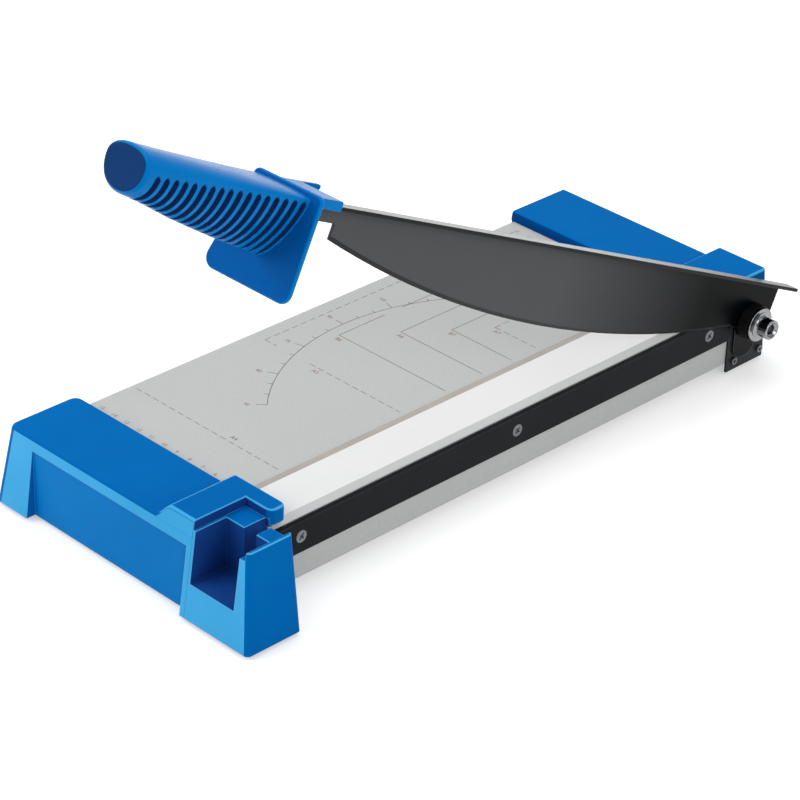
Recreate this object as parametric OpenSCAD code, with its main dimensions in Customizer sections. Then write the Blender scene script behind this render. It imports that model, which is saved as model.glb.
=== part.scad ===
// Desk lever cutter for A4 sheets, cards and photographs, in millimetres.
// Working frame of the lengths below: x = 0 is the cutting edge with the table on its
// negative side, y = 0 is the paper stop at the far end with the table on its negative
// side, and z = 0 is the table top. place() moves it all to the middle of the outline.

/* [Table] */
// Length of the table between the two end caps
table_length = 332; // [300:1:380]
// Width of the table from its left edge to the cutting edge
table_width = 159; // [140:1:200]
// Thickness of the table's sheet steel
sheet_t = 1.2; // [0.8:0.1:1.6]
// Depth of the folded skirts below the table top
skirt_depth = 35; // [30:0.5:36]
// Width of the lip folded inward at the foot of each skirt
skirt_lip = 12; // [8:0.5:16]
// Inner radius of the folds
fold_r = 1; // [0.5:0.1:2]
// Length of the sheet's tongue that reaches into each end cap
tongue_len = 10; // [8:0.5:12]
// Distance of the tongue's sides from the sheet's own edges
tongue_inset = 5; // [3:0.5:8]
// Depth of the skirt where it runs on to carry the pivot
pivot_tab_depth = 28; // [24:0.5:30]
// Number of folded rails under the table
rail_count = 2; // [1:1:3]
// Width of a folded rail
rail_w = 26; // [16:1:40]
// Height of a folded rail
rail_h = 14; // [8:1:20]

/* [End caps] */
// Height of the caps' low tops above the table
cap_rise = 5.6; // [4.5:0.1:8]
// Height of the raised blocks above the table
block_rise = 14.4; // [12:0.1:16]
// Height of the caps' walls below the table top
cap_drop = 40; // [38:0.5:50]
// Wall thickness of the cap mouldings
cap_wall = 2.6; // [2:0.1:3]
// Thickness of the rib under the near cap's raised block
cap_rib_t = 2; // [1.5:0.1:2.6]
// Radius of the top edges of the caps' low tops
cap_edge_r = 3; // [1.5:0.1:4]
// Radius of the top edges of the raised blocks and the tower
block_edge_r = 2; // [1:0.1:2.5]
// Depth of the far cap at its low top
far_cap_depth = 43.5; // [40:0.5:60]
// Reach of the far cap's lip over the table
far_lip = 2.6; // [1:0.1:4]
// Overhang of the far cap past the table's left edge
far_overhang = 1.6; // [0.5:0.1:3]
// Sideways lean of the far cap's walls for each millimetre down
far_lean = 0.1; // [0:0.01:0.14]
// Width of the far cap's raised block
far_block_w = 35.2; // [32:0.1:46]
// Distance of the far cap's end from the cutting edge
far_end_gap = 2.6; // [2.5:0.1:4]
// Depth of the near cap at its low top
near_cap_depth = 45; // [42:0.5:60]
// Overhang of the near cap past the table's left edge
near_overhang = 2.8; // [0.5:0.1:4]
// Sideways lean of the near cap's walls for each millimetre down
near_lean = 0.132; // [0:0.002:0.16]
// Width of the near cap's raised block
near_block_w = 37.5; // [34:0.1:46]
// Reach of the near cap's raised block past the cutting edge
block_past = 1.5; // [0.5:0.1:1.6]
// Length of the slope from the near cap's low top up to its raised block
near_ramp = 9; // [4:0.5:16]
// Depth of the near cap's raised strip beside the table
near_bridge = 10.5; // [9.5:0.5:14]
// Setback of the panel between the near cap's feet
panel_setback = 0.2; // [0:0.1:1]
// Top of that panel below the table top
panel_top = 3.5; // [2:0.5:10]
// Width of the near cap's left foot at its bottom
left_foot_w = 22.5; // [15:0.5:40]

/* [Blade pocket in the near cap] */
// Reach of the tower past the cutting edge at its top
tower_reach = 22.5; // [21:0.1:26]
// Height of the tower's outer wall above the table
tower_rise = 13.5; // [11:0.5:20]
// Width of the raised lip along the tower's outer edge
tower_lip = 2.1; // [1.2:0.1:3]
// Width of the pocket on the table side of the cutting edge
pocket_in = 15.5; // [12:0.5:18]
// Width of the pocket on the operator's right
pocket_out = 16.5; // [12:0.5:17]
// Depth of the pocket's floor below the table top
pocket_drop = 20; // [14:0.5:26]
// Height of the ledges round the pocket
ledge_rise = 9; // [7:0.5:10]
// Width of the ledge along the pocket's left wall
ledge_w = 1.5; // [1:0.1:3]
// Distance of the pocket's back wall from the table's end
pocket_back = 24.5; // [22:0.5:28]
// Distance of the blade slot's inner wall from the cutting edge
slot_in = 2.5; // [2.5:0.1:4]
// Distance of the blade slot's outer wall from the cutting edge
slot_out = 6.5; // [5:0.1:8]
// Distance from the table's end to the back of the tower
tower_gap = 15; // [13:0.5:18]

/* [Bed knife] */
// Thickness of the fixed bed knife
bed_knife_t = 3; // [2:0.1:4]
// Height of the bed knife
bed_knife_h = 18; // [16:0.5:22]
// Length of the bed knife past the paper stop
bed_knife_over = 8.5; // [4:0.5:9]
// Drop of the bed knife's screws below the table top
bed_screw_drop = 8.8; // [6:0.1:11]
// Distance of the end screws from the two table ends
bed_screw_inset = 10; // [6:0.5:20]
// Shank radius of the bed knife's screws
bed_screw_r = 2; // [1.5:0.1:2.2]
// Head radius of the bed knife's screws
bed_screw_head_r = 3.5; // [3:0.1:4]
// Thickness of the backing bar behind the skirt
backing_t = 5; // [4:0.5:7]
// Height of the backing bar
backing_h = 20; // [14:1:24]

/* [Pressing strip] */
// Thickness of the pressing strip
strip_t = 3; // [2.4:0.1:3.2]
// Width of the strip without its thin lip
strip_w = 31.7; // [26:0.1:32]
// Width of the thin clear lip that paper slides under
strip_lip_w = 5; // [3:0.1:6]
// Thickness of that lip
strip_lip_t = 0.8; // [0.5:0.1:1.2]
// Distance of the strip's front edge from the cutting edge
strip_front_gap = 1.3; // [1.2:0.1:2]
// Width of the slope along the strip's front edge
strip_bevel = 3.4; // [1:0.1:5]
// Gap between the strip and the table when it is down
strip_gap = 0.2; // [0.1:0.05:0.3]
// Height that the strip can be lifted
strip_lift = 2; // [1:0.1:2.2]
// Length of the strip's ears inside the end caps
strip_ear = 8.5; // [8:0.1:9]
// Radius of the strip's guide pins
guide_pin_r = 1.5; // [1:0.1:2]
// Outer radius of the strip's springs
spring_r = 3.4; // [3:0.1:3.8]
// Wire thickness of the strip's springs
spring_wire = 0.8; // [0.6:0.1:1]
// Number of turns in each of the strip's springs
spring_turns = 4; // [3:1:5]

/* [Pivot] */
// Distance of the pivot beyond the paper stop
pivot_y = 22; // [20:0.5:24]
// Depth of the pivot below the table top
pivot_drop = 9; // [8:0.5:12]
// Radius of the pivot bolt's shank
bolt_r = 4; // [3:0.1:4.5]
// Radius of the pivot bolt's head
bolt_head_r = 5.9; // [5:0.1:6.5]
// Length of the pivot bolt's head
bolt_head_len = 6.5; // [4:0.5:8]
// Width across flats of the socket in the head
socket_af = 6; // [4:0.5:7]
// Thickness of the pivot bracket
bracket_t = 1.5; // [1.2:0.1:1.8]
// Length of the pivot bracket along the base
bracket_len = 31.5; // [29:0.5:34]
// Width of the bearing plate
bearing_w = 18.6; // [17:0.1:22]
// Drop of the bearing plate's foot below the table top
bearing_drop = 33; // [28:0.5:34]
// Radius of the spring washers
disc_r = 10.75; // [9.5:0.05:12]
// Number of spring washers
disc_count = 5; // [3:1:6]
// Thickness of one spring washer
disc_t = 1.14; // [0.8:0.02:1.3]
// Radius of the bright washers
washer_r = 10; // [8:0.1:11]
// Thickness of the thin bright washer
thin_washer_t = 0.8; // [0.5:0.1:1.2]
// Thickness of the thick bright washer
thick_washer_t = 1.2; // [0.8:0.1:2]
// Length of the coved collar under the bolt's head
collar_len = 2; // [1.5:0.1:3]
// Width across flats of the lock nut
nut_af = 13; // [11:0.5:14]
// Thickness of the lock nut
nut_t = 6.5; // [5:0.5:8]

/* [Blade arm] */
// Angle of the arm above the table in the stored pose, in degrees
arm_tilt = 25.2; // [10:0.1:40]
// Thickness of the blade's steel
blade_t = 2; // [1.6:0.1:2.4]
// Running gap between the blade and the bed knife
blade_gap = 0.3; // [0.3:0.05:0.5]
// Height of the blade's folded top above the pivot's level
blade_top = 24.2; // [22:0.1:27]
// Width of the blade's folded top
flange_w = 9.7; // [8:0.1:11]
// Length of the folded top behind the pivot
tail_len = 24.5; // [20:0.5:30]
// Length of the blade's web behind the pivot
web_tail = 17; // [14:0.5:19]
// Length of the blade past the near end of the table
blade_past = 14.5; // [13:0.5:18]
// Radius of the curved cutting edge
edge_r = 760; // [700:10:900]
// Depth of the cutting edge's lowest point below the pivot's level
belly = 21.6; // [20:0.1:23]
// Distance of that lowest point from the pivot
belly_at = 167; // [150:1:185]
// Height of the ground bevel along the cutting edge
edge_bevel = 2.2; // [1:0.1:3]
// Radius of the blade's heel round the pivot
heel_r = 10.4; // [9:0.1:12]
// Height of the tang that runs into the handle
tang_h = 10.2; // [8:0.1:11]
// Outer radius of the pivot bush
bush_r = 6; // [5.5:0.1:6.5]
// Running clearance between the bush and the bolt
bush_clear = 0.05; // [0.02:0.01:0.1]

/* [Handle] */
// Distance from the blade's end to the guard
guard_step = 42; // [38:0.5:50]
// Thickness of the guard
guard_t = 3; // [2:0.1:4]
// Reach of the guard to the operator's right
guard_right = 31; // [29:0.5:36]
// Reach of the guard to the left at its foot
guard_left = 26.5; // [20:0.5:30]
// Reach of the guard to the left at its top
guard_left_top = 14.5; // [12:0.5:19]
// Reach of the guard below the pivot's level
guard_low = 23.6; // [18:0.1:26]
// Reach of the guard above the pivot's level
guard_high = 28.5; // [27.5:0.1:31]
// Radius of the guard's corners
guard_corner = 5; // [2:0.1:8]
// Length of the cover in front of the guard
cover_len = 31.5; // [26:0.5:36]
// Reach of the cover to the left
cover_left = 17.6; // [14:0.1:20]
// Thickness of the cover's top
cover_t = 2.6; // [2:0.1:3]
// Length of the cover's tab past its end
tab_len = 14.5; // [8:0.5:20]
// Length of the grip behind the guard
grip_len = 102.5; // [85:0.5:115]
// Distance of the tang's end from the grip's butt
tang_short = 18; // [14:0.5:24]
// Distance of the first grip screw from the guard
grip_screw_first = 22; // [16:0.5:30]
// Distance of the second grip screw from the tang's end
grip_screw_end = 18.5; // [12:0.5:26]
// Half width of the grip
grip_half_w = 12; // [10:0.1:14]
// Top of the grip at the guard, above the pivot's level
grip_top_front = 28.8; // [26:0.1:32]
// Top of the grip at its butt
grip_top_back = 34.4; // [32:0.1:38]
// Underside of the grip at the guard, above the pivot's level
grip_low_front = -7; // [-10:0.1:-2]
// Underside of the grip at a third of its length
grip_low_third = -1.2; // [-3:0.1:1]
// Underside of the grip at two thirds of its length
grip_low_two_thirds = 4; // [2:0.1:6]
// Underside of the grip at its butt
grip_low_back = 12.2; // [10:0.1:14]
// Radius of the butt's edge
butt_edge = 1.5; // [0.5:0.1:3]
// Distance of the first finger groove from the grip's butt
groove_first = 11; // [8:0.5:14]
// Number of finger grooves
groove_count = 17; // [5:1:19]
// Distance from one finger groove to the next
groove_pitch = 5.65; // [5:0.05:6]
// Width of a finger groove
groove_w = 2.6; // [1.5:0.1:3.5]
// Depth of a finger groove
groove_depth = 2.4; // [1:0.1:3]
// Top of the grooves above the pivot's level
groove_top = 22.8; // [20:0.1:24]

/* [Small parts] */
// Height of the rubber feet under the caps
foot_h = 2.5; // [1.5:0.1:5]
// Radius of the rubber feet
foot_r = 7; // [5:0.1:7.5]
// Radius of the feet's stems
stem_r = 2.8; // [2:0.1:3.5]
// Length of the feet's stems
stem_len = 7; // [4:0.5:9]
// Distance of the first cap screw from the table's left edge
cap_screw_first = 30; // [26:1:36]
// Distance from one cap screw to the next
cap_screw_pitch = 35; // [20:1:38]
// Height of the small screws' heads
small_head_h = 1.6; // [1.2:0.1:1.8]
// Length of the bracket's screws
bracket_screw_len = 8.5; // [7:0.5:9]
// Length of the grip's screws
grip_screw_len = 12.5; // [11.5:0.5:13.5]
// Shank radius of the small cap, bracket and grip screws
small_screw_r = 1.5; // [1.2:0.05:1.8]
// Head radius of the small screws
small_head_r = 2.9; // [2.4:0.1:3.2]
// Head radius of the two screws that hold the pivot bracket's foot
bracket_head_r = 2.2; // [1.8:0.1:2.4]
// Clearance round screws and loose fits
fit = 0.1; // [0.05:0.01:0.2]

/* [Hidden] */

blue = "#1166b8";
dark_steel = "#2a2d30";
sheet_grey = "#c4c6c5";
bright = "#d8dadc";
rubber_black = "#303030";
clear_white = "#e8eaea";
fine = 96;
round_fn = 32;
edge_fn = 720;
arc_steps = 6;
// Small step between walls that would otherwise share a plane
wall_step = 0.3;
far_off = 200;
bore_run = 20;
skin = 0.01;
// Clearance of a loose slot
loose = 0.3;
// Wall of a screw boss, and of the post over a foot
boss_wall = 0.6;
post_wall = 1;
// Depth that the raised block's foot sinks into the low top
block_sink = 2.2;
// Overlap of the near cap's low top with its tower
tower_overlap = 8;
// Share of a cap's depth at which its feet stand
foot_share = 0.62;
// Distance of the feet from the caps' left ends, and of the far right foot from its end
foot_side = 12;
foot_in = 18;
// Setback of the near right foot from the other near foot, and from the tower's edge
foot_back = 8;
// Distance of the pivot bracket's near edge and of its first screw from the pivot
bracket_back = 12.3;
bracket_screw_back = 7;
// Height of the bracket's screws above the caps' feet
bracket_screw_up = 5.8;
// Distance of the strip's guide pins from the ends of its ears
pin_inset = 4.2;
// Depth of the hex socket and of the lead-in at its mouth
socket_depth = 4;
lead_depth = 1.2;

// Places along x, from the table's left edge to the blade
skirt_x = -1;
sheet_left = -table_width;
knife_x0 = skirt_x;
knife_x1 = knife_x0 + bed_knife_t;
bracket_x1 = skirt_x + bracket_t;
blade_x0 = knife_x1 + blade_gap;
blade_x1 = blade_x0 + blade_t;
disc_x0 = blade_x1 + blade_gap;
disc_gap = 0.04;
disc_x1 = disc_x0 + disc_count * (disc_t + disc_gap);
thin_x1 = disc_x1 + thin_washer_t;
thick_x1 = thin_x1 + disc_gap + thick_washer_t;
collar_x1 = thick_x1 + disc_gap + collar_len;
nut_x1 = skirt_x - sheet_t - disc_gap - thin_washer_t - disc_gap;
nut_x0 = nut_x1 - nut_t;
block_far_x0 = -far_end_gap - far_block_w;
block_near_x1 = block_past;
far_left = sheet_left - far_overhang;
near_left = sheet_left - near_overhang;
block_near_x0 = block_near_x1 - near_block_w;

// Places along y, from the far end to the operator
near_y = -table_length;
far_back = far_cap_depth + far_lean * (cap_drop + cap_rise);
near_front_low = near_y - near_cap_depth - near_lean * (cap_drop + cap_rise);
pocket_y = near_y - pocket_back;
knife_end_y = near_y - near_bridge + 0.5;
feet_far_y = far_cap_depth * foot_share;
feet_near_y = near_y - near_cap_depth * foot_share;

// Places along z
floor_z = -cap_drop - foot_h;
strip_z0 = strip_gap;
strip_slot_top = strip_gap + strip_t + strip_lift + loose;
block_roof = block_rise - cap_wall;
block_step = block_rise - cap_rise;
pivot_z = -pivot_drop;
notch_left = -pocket_in - ledge_w;
tower_left = notch_left - cap_wall - loose;
tower_wall_x = tower_reach + near_lean * (tower_rise + cap_drop);

// Distances along the arm from the pivot
blade_end = pivot_y + table_length + blade_past;
guard_a = blade_end + guard_step;
butt_a = guard_a + guard_t + grip_len;
tang_end = butt_a - tang_short;
cover_a = guard_a - cover_len;
flange_end = cover_a + 8;
grip_mid_x = (blade_x0 + blade_x1) / 2;
cover_right = blade_x0 + flange_w + 2;

// Middle of the stored outline, which place() puts over the frame's origin
left_x = min(near_left - near_lean * (cap_drop + cap_rise), far_left - far_lean * (cap_drop + cap_rise));
right_x = max(guard_right, tower_wall_x);
front_y = pivot_y - butt_a * cos(arm_tilt) + (grip_low_back + butt_edge) * sin(arm_tilt);
tail_y = pivot_y + tail_len * cos(arm_tilt) + blade_top * sin(arm_tilt);
mid_x = (left_x + right_x) / 2;
mid_y = (min(front_y, near_front_low) + max(far_back, tail_y)) / 2;

feet = [
    [sheet_left + foot_side, feet_far_y],
    [-far_end_gap - foot_in, feet_far_y],
    [sheet_left + foot_side, feet_near_y],
    [tower_reach - foot_back, feet_near_y - foot_back]
];
bed_screw_ys = [
    -bed_screw_inset,
    (-bed_screw_inset + near_y + bed_screw_inset) / 2,
    near_y + bed_screw_inset
];
cap_screw_xs = [for (i = [0:2]) sheet_left + cap_screw_first + i * cap_screw_pitch];
cap_screw_in = cap_wall + small_head_r + loose;
bracket_y0 = pivot_y - bracket_back;
bracket_screw_ys = [pivot_y - bracket_screw_back, pivot_y + bracket_len / 2 - 0.5];
bracket_screw_z = -cap_drop + bracket_screw_up;
bracket_boss_r = small_head_r + 0.8;
strip_pin_x = -strip_front_gap - strip_w / 2;
strip_pin_ys = [strip_ear - pin_inset, near_y - strip_ear + pin_inset];
grip_screw_as = [guard_a + guard_t + grip_screw_first, tang_end - grip_screw_end];
grip_screw_n = blade_top - tang_h / 2;
// Seat of the grip screws' heads, to the left of the tang
grip_seat_x = blade_x0 - 5;

// Moves the working frame so that the outline stands over the origin
module place() {
    translate([-mid_x, -mid_y, -floor_z]) children();
}

// Moves the arm's own frame, where -y runs to the handle, to its stored pose
module place_arm() {
    place() translate([0, pivot_y, pivot_z]) rotate([-arm_tilt, 0, 0]) children();
}

// Extrudes an outline drawn in y and z along x, from x0 to x1
module along_x(x0, x1) {
    translate([x0, 0, 0]) rotate([90, 0, 90]) linear_extrude(x1 - x0) children();
}

// Extrudes an outline drawn in x and z along y, from y0 to y1
module along_y(y0, y1) {
    translate([0, y1, 0]) rotate([90, 0, 0]) linear_extrude(y1 - y0) children();
}

// Box from its low corner to its high corner
module box(low, high) {
    translate(low) cube(high - low);
}

// Round bar along x
module bar_x(r, x0, x1, y, z) {
    translate([x0, y, z]) rotate([0, 90, 0]) cylinder(r = r, h = x1 - x0, $fn = fine);
}

// Round bar along z
module bar_z(r, z0, z1, x, y) {
    translate([x, y, z0]) cylinder(r = r, h = z1 - z0, $fn = fine);
}

// Points of a rounded corner, from the wall under it up to the level top
function corner_arc(mid, top, r, side, lean) = [
    for (k = [0:arc_steps])
        let(turn = k == 0 ? atan(lean) : 90 * k / arc_steps)
        if (k == 0 || turn > atan(lean) + 1)
            [mid + side * r * cos(turn), top - r + r * sin(turn)]
];

// Outline of a block seen from its end: level top with rounded corners at z1, and two
// walls that start under a0 and a1 and can lean outward toward the foot at z0
module lean_outline(a0, a1, z0, z1, lean0, lean1, r) {
    fall = z1 - z0;
    mid0 = a0 + r * (sqrt(1 + lean0 * lean0) - lean0);
    mid1 = a1 - r * (sqrt(1 + lean1 * lean1) - lean1);
    up_left = corner_arc(mid0, z1, r, -1, lean0);
    polygon(concat(
        [[a0 - lean0 * fall, z0], [a1 + lean1 * fall, z0]],
        corner_arc(mid1, z1, r, 1, lean1),
        [for (k = [len(up_left) - 1:-1:0]) up_left[k]]
    ));
}

// Block whose four walls can lean outward toward its foot, with rounded top edges
module lean_block(x0, x1, y0, y1, z0, z1, lean_x0, lean_x1, lean_y0, lean_y1, r) {
    spread = z1 - z0 + 1;
    intersection() {
        along_x(x0 - spread * (lean_x0 + 1), x1 + spread * (lean_x1 + 1))
            lean_outline(y0, y1, z0, z1, lean_y0, lean_y1, r);
        along_y(y0 - spread * (lean_y0 + 1), y1 + spread * (lean_y1 + 1))
            lean_outline(x0, x1, z0, z1, lean_x0, lean_x1, r);
    }
}

// Outline of the folded table in x and z: top, two skirts and two lips
module table_outline() {
    right = skirt_x;
    left = sheet_left;
    difference() {
        translate([left, -skirt_depth]) square([right - left, skirt_depth]);
        translate([left + sheet_t, -skirt_depth + sheet_t])
            square([right - left - 2 * sheet_t, skirt_depth - 2 * sheet_t]);
        translate([left + skirt_lip, -skirt_depth - 1])
            square([right - left - 2 * skirt_lip, 2 + sheet_t]);
        fold_corner(left, 0, 1, -1);
        fold_corner(right, 0, -1, -1);
    }
}

// Waste outside the rounded fold at a corner of the table's outline
module fold_corner(x, z, dx, dz) {
    r = fold_r + sheet_t;
    translate([x, z]) difference() {
        translate([min(0, dx * r), min(0, dz * r)]) square(r);
        translate([dx * r, dz * r]) circle(r = r, $fn = fine);
    }
}

module table_sheet() {
    color(sheet_grey) place() difference() {
        union() {
            along_y(near_y, 0) table_outline();
            box([sheet_left + tongue_inset, -1, -sheet_t],
                [skirt_x - tongue_inset, tongue_len, 0]);
            box([sheet_left + tongue_inset, near_y - tongue_len, -sheet_t],
                [skirt_x - tongue_inset, near_y + 1, 0]);
            // Skirt run on behind the bracket, deep up to its first screw
            box([skirt_x - sheet_t, -1, -pivot_tab_depth],
                [skirt_x, pivot_y + bracket_len / 2 - 1, -sheet_t - 1]);
            box([skirt_x - sheet_t, -1, -skirt_depth],
                [skirt_x, bracket_screw_ys[0] - bracket_boss_r - loose, -pivot_tab_depth + 1]);
            box([skirt_x - sheet_t, knife_end_y, -bed_knife_h],
                [skirt_x, near_y + 1, -sheet_t - 1]);
        }
        bar_x(bolt_r + fit, skirt_x - bore_run, 1, pivot_y, pivot_z);
        for (y = bed_screw_ys)
            bar_x(bed_screw_r + fit, skirt_x - bore_run, 1, y, -bed_screw_drop);
        for (x = cap_screw_xs, y = [cap_screw_in, near_y - cap_screw_in])
            bar_z(small_screw_r + fit, -sheet_t - 1, 1, x, y);
    }
}

// Folded hat-shaped rails under the table, from skirt to skirt
module table_rails() {
    x0 = sheet_left + sheet_t + fold_r;
    x1 = skirt_x - sheet_t - backing_t - 1;
    color(sheet_grey) place()
        for (i = [1:rail_count]) {
            y = near_y * i / (rail_count + 1);
            difference() {
                box([x0, y - rail_w / 2, -sheet_t - rail_h],
                    [x1, y + rail_w / 2, -sheet_t]);
                box([x0 - 1, y - rail_w / 2 + sheet_t, -sheet_t - rail_h + sheet_t],
                    [x1 + 1, y + rail_w / 2 - sheet_t, 0]);
            }
        }
}

// Bar behind the skirt that takes the bed knife's screws
module backing_bar() {
    x1 = skirt_x - sheet_t;
    color(dark_steel) place() difference() {
        box([x1 - backing_t, near_y + 1, -sheet_t - 1 - backing_h],
            [x1, -1, -sheet_t - 1]);
        for (y = bed_screw_ys)
            bar_x(bed_screw_r, x1 - bore_run, x1 + 1, y, -bed_screw_drop);
    }
}

// Slot that takes the sheet's tongue through a cap's inner wall, and its screws
module tongue_slot(y0, y1) {
    box([sheet_left + tongue_inset - loose, y0, -sheet_t - fit],
        [skirt_x - tongue_inset + loose, y1, fit]);
}

// Space for the pressing strip's ear, with the spring's chamber above it
module strip_chamber(y0, y1, pin_y) {
    box([-strip_front_gap - strip_w - 0.4, y0, fit],
        [2, y1, strip_slot_top]);
    bar_z(spring_r + 0.6, strip_slot_top - 1, block_roof, strip_pin_x, pin_y);
    bar_z(guide_pin_r, block_roof - 1, block_roof + 1.4, strip_pin_x, pin_y);
}

// Posts over the feet, drawn down from a cap's roof
module foot_post(at, top) {
    bar_z(foot_r + post_wall, -cap_drop, top, at[0], at[1]);
}

module far_end_cap() {
    left = far_left;
    right = -far_end_gap;
    roof = cap_rise - cap_wall;
    back_in = far_cap_depth - cap_wall;
    color(blue) place() difference() {
        union() {
            difference() {
                union() {
                    lean_block(left, right, -far_lip, far_cap_depth, -cap_drop, cap_rise,
                        far_lean, 0, 0, far_lean, cap_edge_r);
                    lean_block(block_far_x0, right, -far_lip,
                        far_cap_depth - far_lean * block_step - wall_step,
                        0, block_rise, 0, 0, 0, far_lean, block_edge_r);
                }
                // Hollow under the low top
                lean_block(left + cap_wall, right - cap_wall, cap_wall, back_in,
                    -cap_drop - 1, roof, far_lean, 0, 0, far_lean, 1);
                // Hollow under the raised block
                box([block_far_x0 + cap_wall, tongue_len + 2, -1],
                    [right - cap_wall, back_in, block_roof]);
            }
            foot_post(feet[0], roof + 1);
            foot_post(feet[1], block_roof + 1);
            for (x = cap_screw_xs)
                bar_z(small_head_r + boss_wall, fit, roof + 1, x, cap_screw_in);
            // Roof and cheeks round the strip's ear
            box([block_far_x0 + 1, cap_wall - 1, -sheet_t - 2.5],
                [right, tongue_len + 2 + cap_wall, block_roof + 1]);
            for (y = bracket_screw_ys)
                bar_x(bracket_boss_r, right - 8, skirt_x, y, bracket_screw_z);
        }
        // Clear of the table under the lip
        box([left - far_off, -far_off, -cap_drop - 1], [far_off, 0, fit]);
        tongue_slot(-1, tongue_len + 0.5);
        strip_chamber(-far_lip - 1, strip_ear + 0.8, strip_pin_ys[0]);
        for (x = cap_screw_xs)
            bar_z(small_screw_r, -1, cap_rise - 1, x, cap_screw_in);
        for (y = bracket_screw_ys)
            bar_x(small_screw_r, right - 6, 1, y, bracket_screw_z);
        for (i = [0, 1])
            bar_z(stem_r + fit, -cap_drop - 1, -cap_drop + stem_len + 0.5,
                feet[i][0], feet[i][1]);
        // Window behind the pivot, clear of the nut and the skirt's tab
        bar_x(nut_af * 0.75, nut_x0 - 6, 1, pivot_y, pivot_z);
        box([skirt_x - sheet_t - backing_t - 1, -1, -pivot_tab_depth - 1],
            [1, 0.4, -fit]);
    }
}

// Place of the near cap's front wall at a height above the table
function near_front(z) = near_y - near_cap_depth + near_lean * (z - cap_rise);

// Raised block of the near cap: an arm to the front and a bridge beside the table
module near_block() {
    lean_block(block_near_x0, tower_left + tower_overlap, near_front(block_rise) + wall_step, near_y,
        cap_rise - block_sink, block_rise, near_ramp / block_step, 0, near_lean, 0, block_edge_r);
    lean_block(block_near_x0 + near_ramp, block_near_x1, near_y - near_bridge, near_y,
        0.6, block_rise, 0, 0, 0, 0, block_edge_r);
}

module near_end_cap() {
    left = near_left;
    roof = cap_rise - cap_wall;
    front = near_y - near_cap_depth;
    tower_back = near_y - tower_gap;
    panel_right = tower_left - 1;
    panel_left = left - near_lean * cap_drop + left_foot_w;
    arm_x0 = block_near_x0 + cap_wall;
    arm_x1 = notch_left - cap_wall;
    arm_mid = (arm_x0 + arm_x1) / 2;
    arm_front = front + cap_wall + 3;
    arm_back = near_y - near_bridge - 2;
    color(blue) place() difference() {
        union() {
            difference() {
                union() {
                    lean_block(left, tower_left + tower_overlap, front, near_y, -cap_drop, cap_rise,
                        near_lean, 0, near_lean, 0, cap_edge_r);
                    lean_block(tower_left, tower_reach, near_front(tower_rise) - wall_step,
                        tower_back, -cap_drop, tower_rise, 0, near_lean, near_lean, 0,
                        block_edge_r);
                    near_block();
                    // Pillar behind the pocket, up to the ledge
                    box([tower_left + 1, pocket_y - 1, -cap_drop],
                        [0, near_y - near_bridge + 1, ledge_rise]);
                    // Bed of the tower beside the table's end
                    box([tower_left, tower_back - 4, -cap_drop],
                        [skirt_x - sheet_t - 0.3, near_y - cap_wall, 1]);
                }
                // Hollow under the low top
                lean_block(left + cap_wall, tower_left - 1, front + cap_wall + 1,
                    near_y - cap_wall, -cap_drop - 1, roof, near_lean, 0, 0, 0, 1);
                // Hollow under the raised block's arm, in two halves beside its rib
                for (side = [0, 1])
                    box([side == 0 ? arm_x0 : arm_mid + cap_rib_t / 2, arm_front, roof - 1.5],
                        [side == 0 ? arm_mid - cap_rib_t / 2 : arm_x1, arm_back, block_roof]);
                // Hollow under the pocket
                box([tower_left + cap_wall, front + cap_wall, -cap_drop - 1],
                    [tower_reach - 1, near_y - cap_wall * 2, -pocket_drop - cap_wall]);
            }
            foot_post(feet[2], roof + 1);
            foot_post(feet[3], -pocket_drop - 1);
            for (x = cap_screw_xs)
                bar_z(small_head_r + boss_wall, fit, roof + 1, x, near_y - cap_screw_in);
        }
        // Panel set back between the two front feet
        box([panel_left, front - far_off, -cap_drop - 1],
            [panel_right, front - panel_setback, -panel_top]);
        // Notch above the ledges, up to the lip along the tower's edge
        box([notch_left, front - far_off, ledge_rise],
            [tower_reach - tower_lip, near_y - near_bridge, block_rise + 1]);
        // Pocket, open at the front
        box([-pocket_in, front - far_off, -pocket_drop],
            [pocket_out, pocket_y, ledge_rise + 1]);
        // Slot for the blade's end, open toward the bed knife
        box([-slot_in, pocket_y - 1, -pocket_drop],
            [slot_out, near_y - near_bridge, ledge_rise + 1]);
        // Clear of the bed knife and the skirt's end
        box([-slot_in, near_y - near_bridge - 0.5, -cap_drop - 1],
            [slot_out, near_y + 1, strip_slot_top - 1]);
        tongue_slot(near_y - tongue_len - 0.5, near_y + 1);
        strip_chamber(near_y - strip_ear - 0.8, near_y + 1, strip_pin_ys[1]);
        for (x = cap_screw_xs)
            bar_z(small_screw_r, -1, cap_rise - 1, x, near_y - cap_screw_in);
        for (i = [2, 3])
            bar_z(stem_r + fit, -cap_drop - 1, -cap_drop + stem_len + 0.5,
                feet[i][0], feet[i][1]);
    }
}

// Pan-head screw along z with its head at the foot and a cross recess in it
module small_screw(z0, z1, head_r) {
    translate([0, 0, z0]) difference() {
        cylinder(r = head_r, h = small_head_h, $fn = fine);
        for (turn = [0, 90]) rotate(turn) translate([-head_r * 0.6, -0.35, -1])
            cube([head_r * 1.2, 0.7, 1.9]);
    }
    translate([0, 0, z0 + small_head_h - skin])
        cylinder(r = small_screw_r - 0.05, h = z1 - z0 - small_head_h + skin, $fn = fine);
}

module cap_screws(y) {
    for (x = cap_screw_xs)
        translate([x, y, 0])
            small_screw(-sheet_t - 0.05 - small_head_h, cap_rise - 1.3, small_head_r);
}

module far_cap_screws() {
    color(bright) place() cap_screws(cap_screw_in);
}

module near_cap_screws() {
    color(bright) place() cap_screws(near_y - cap_screw_in);
}

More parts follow.
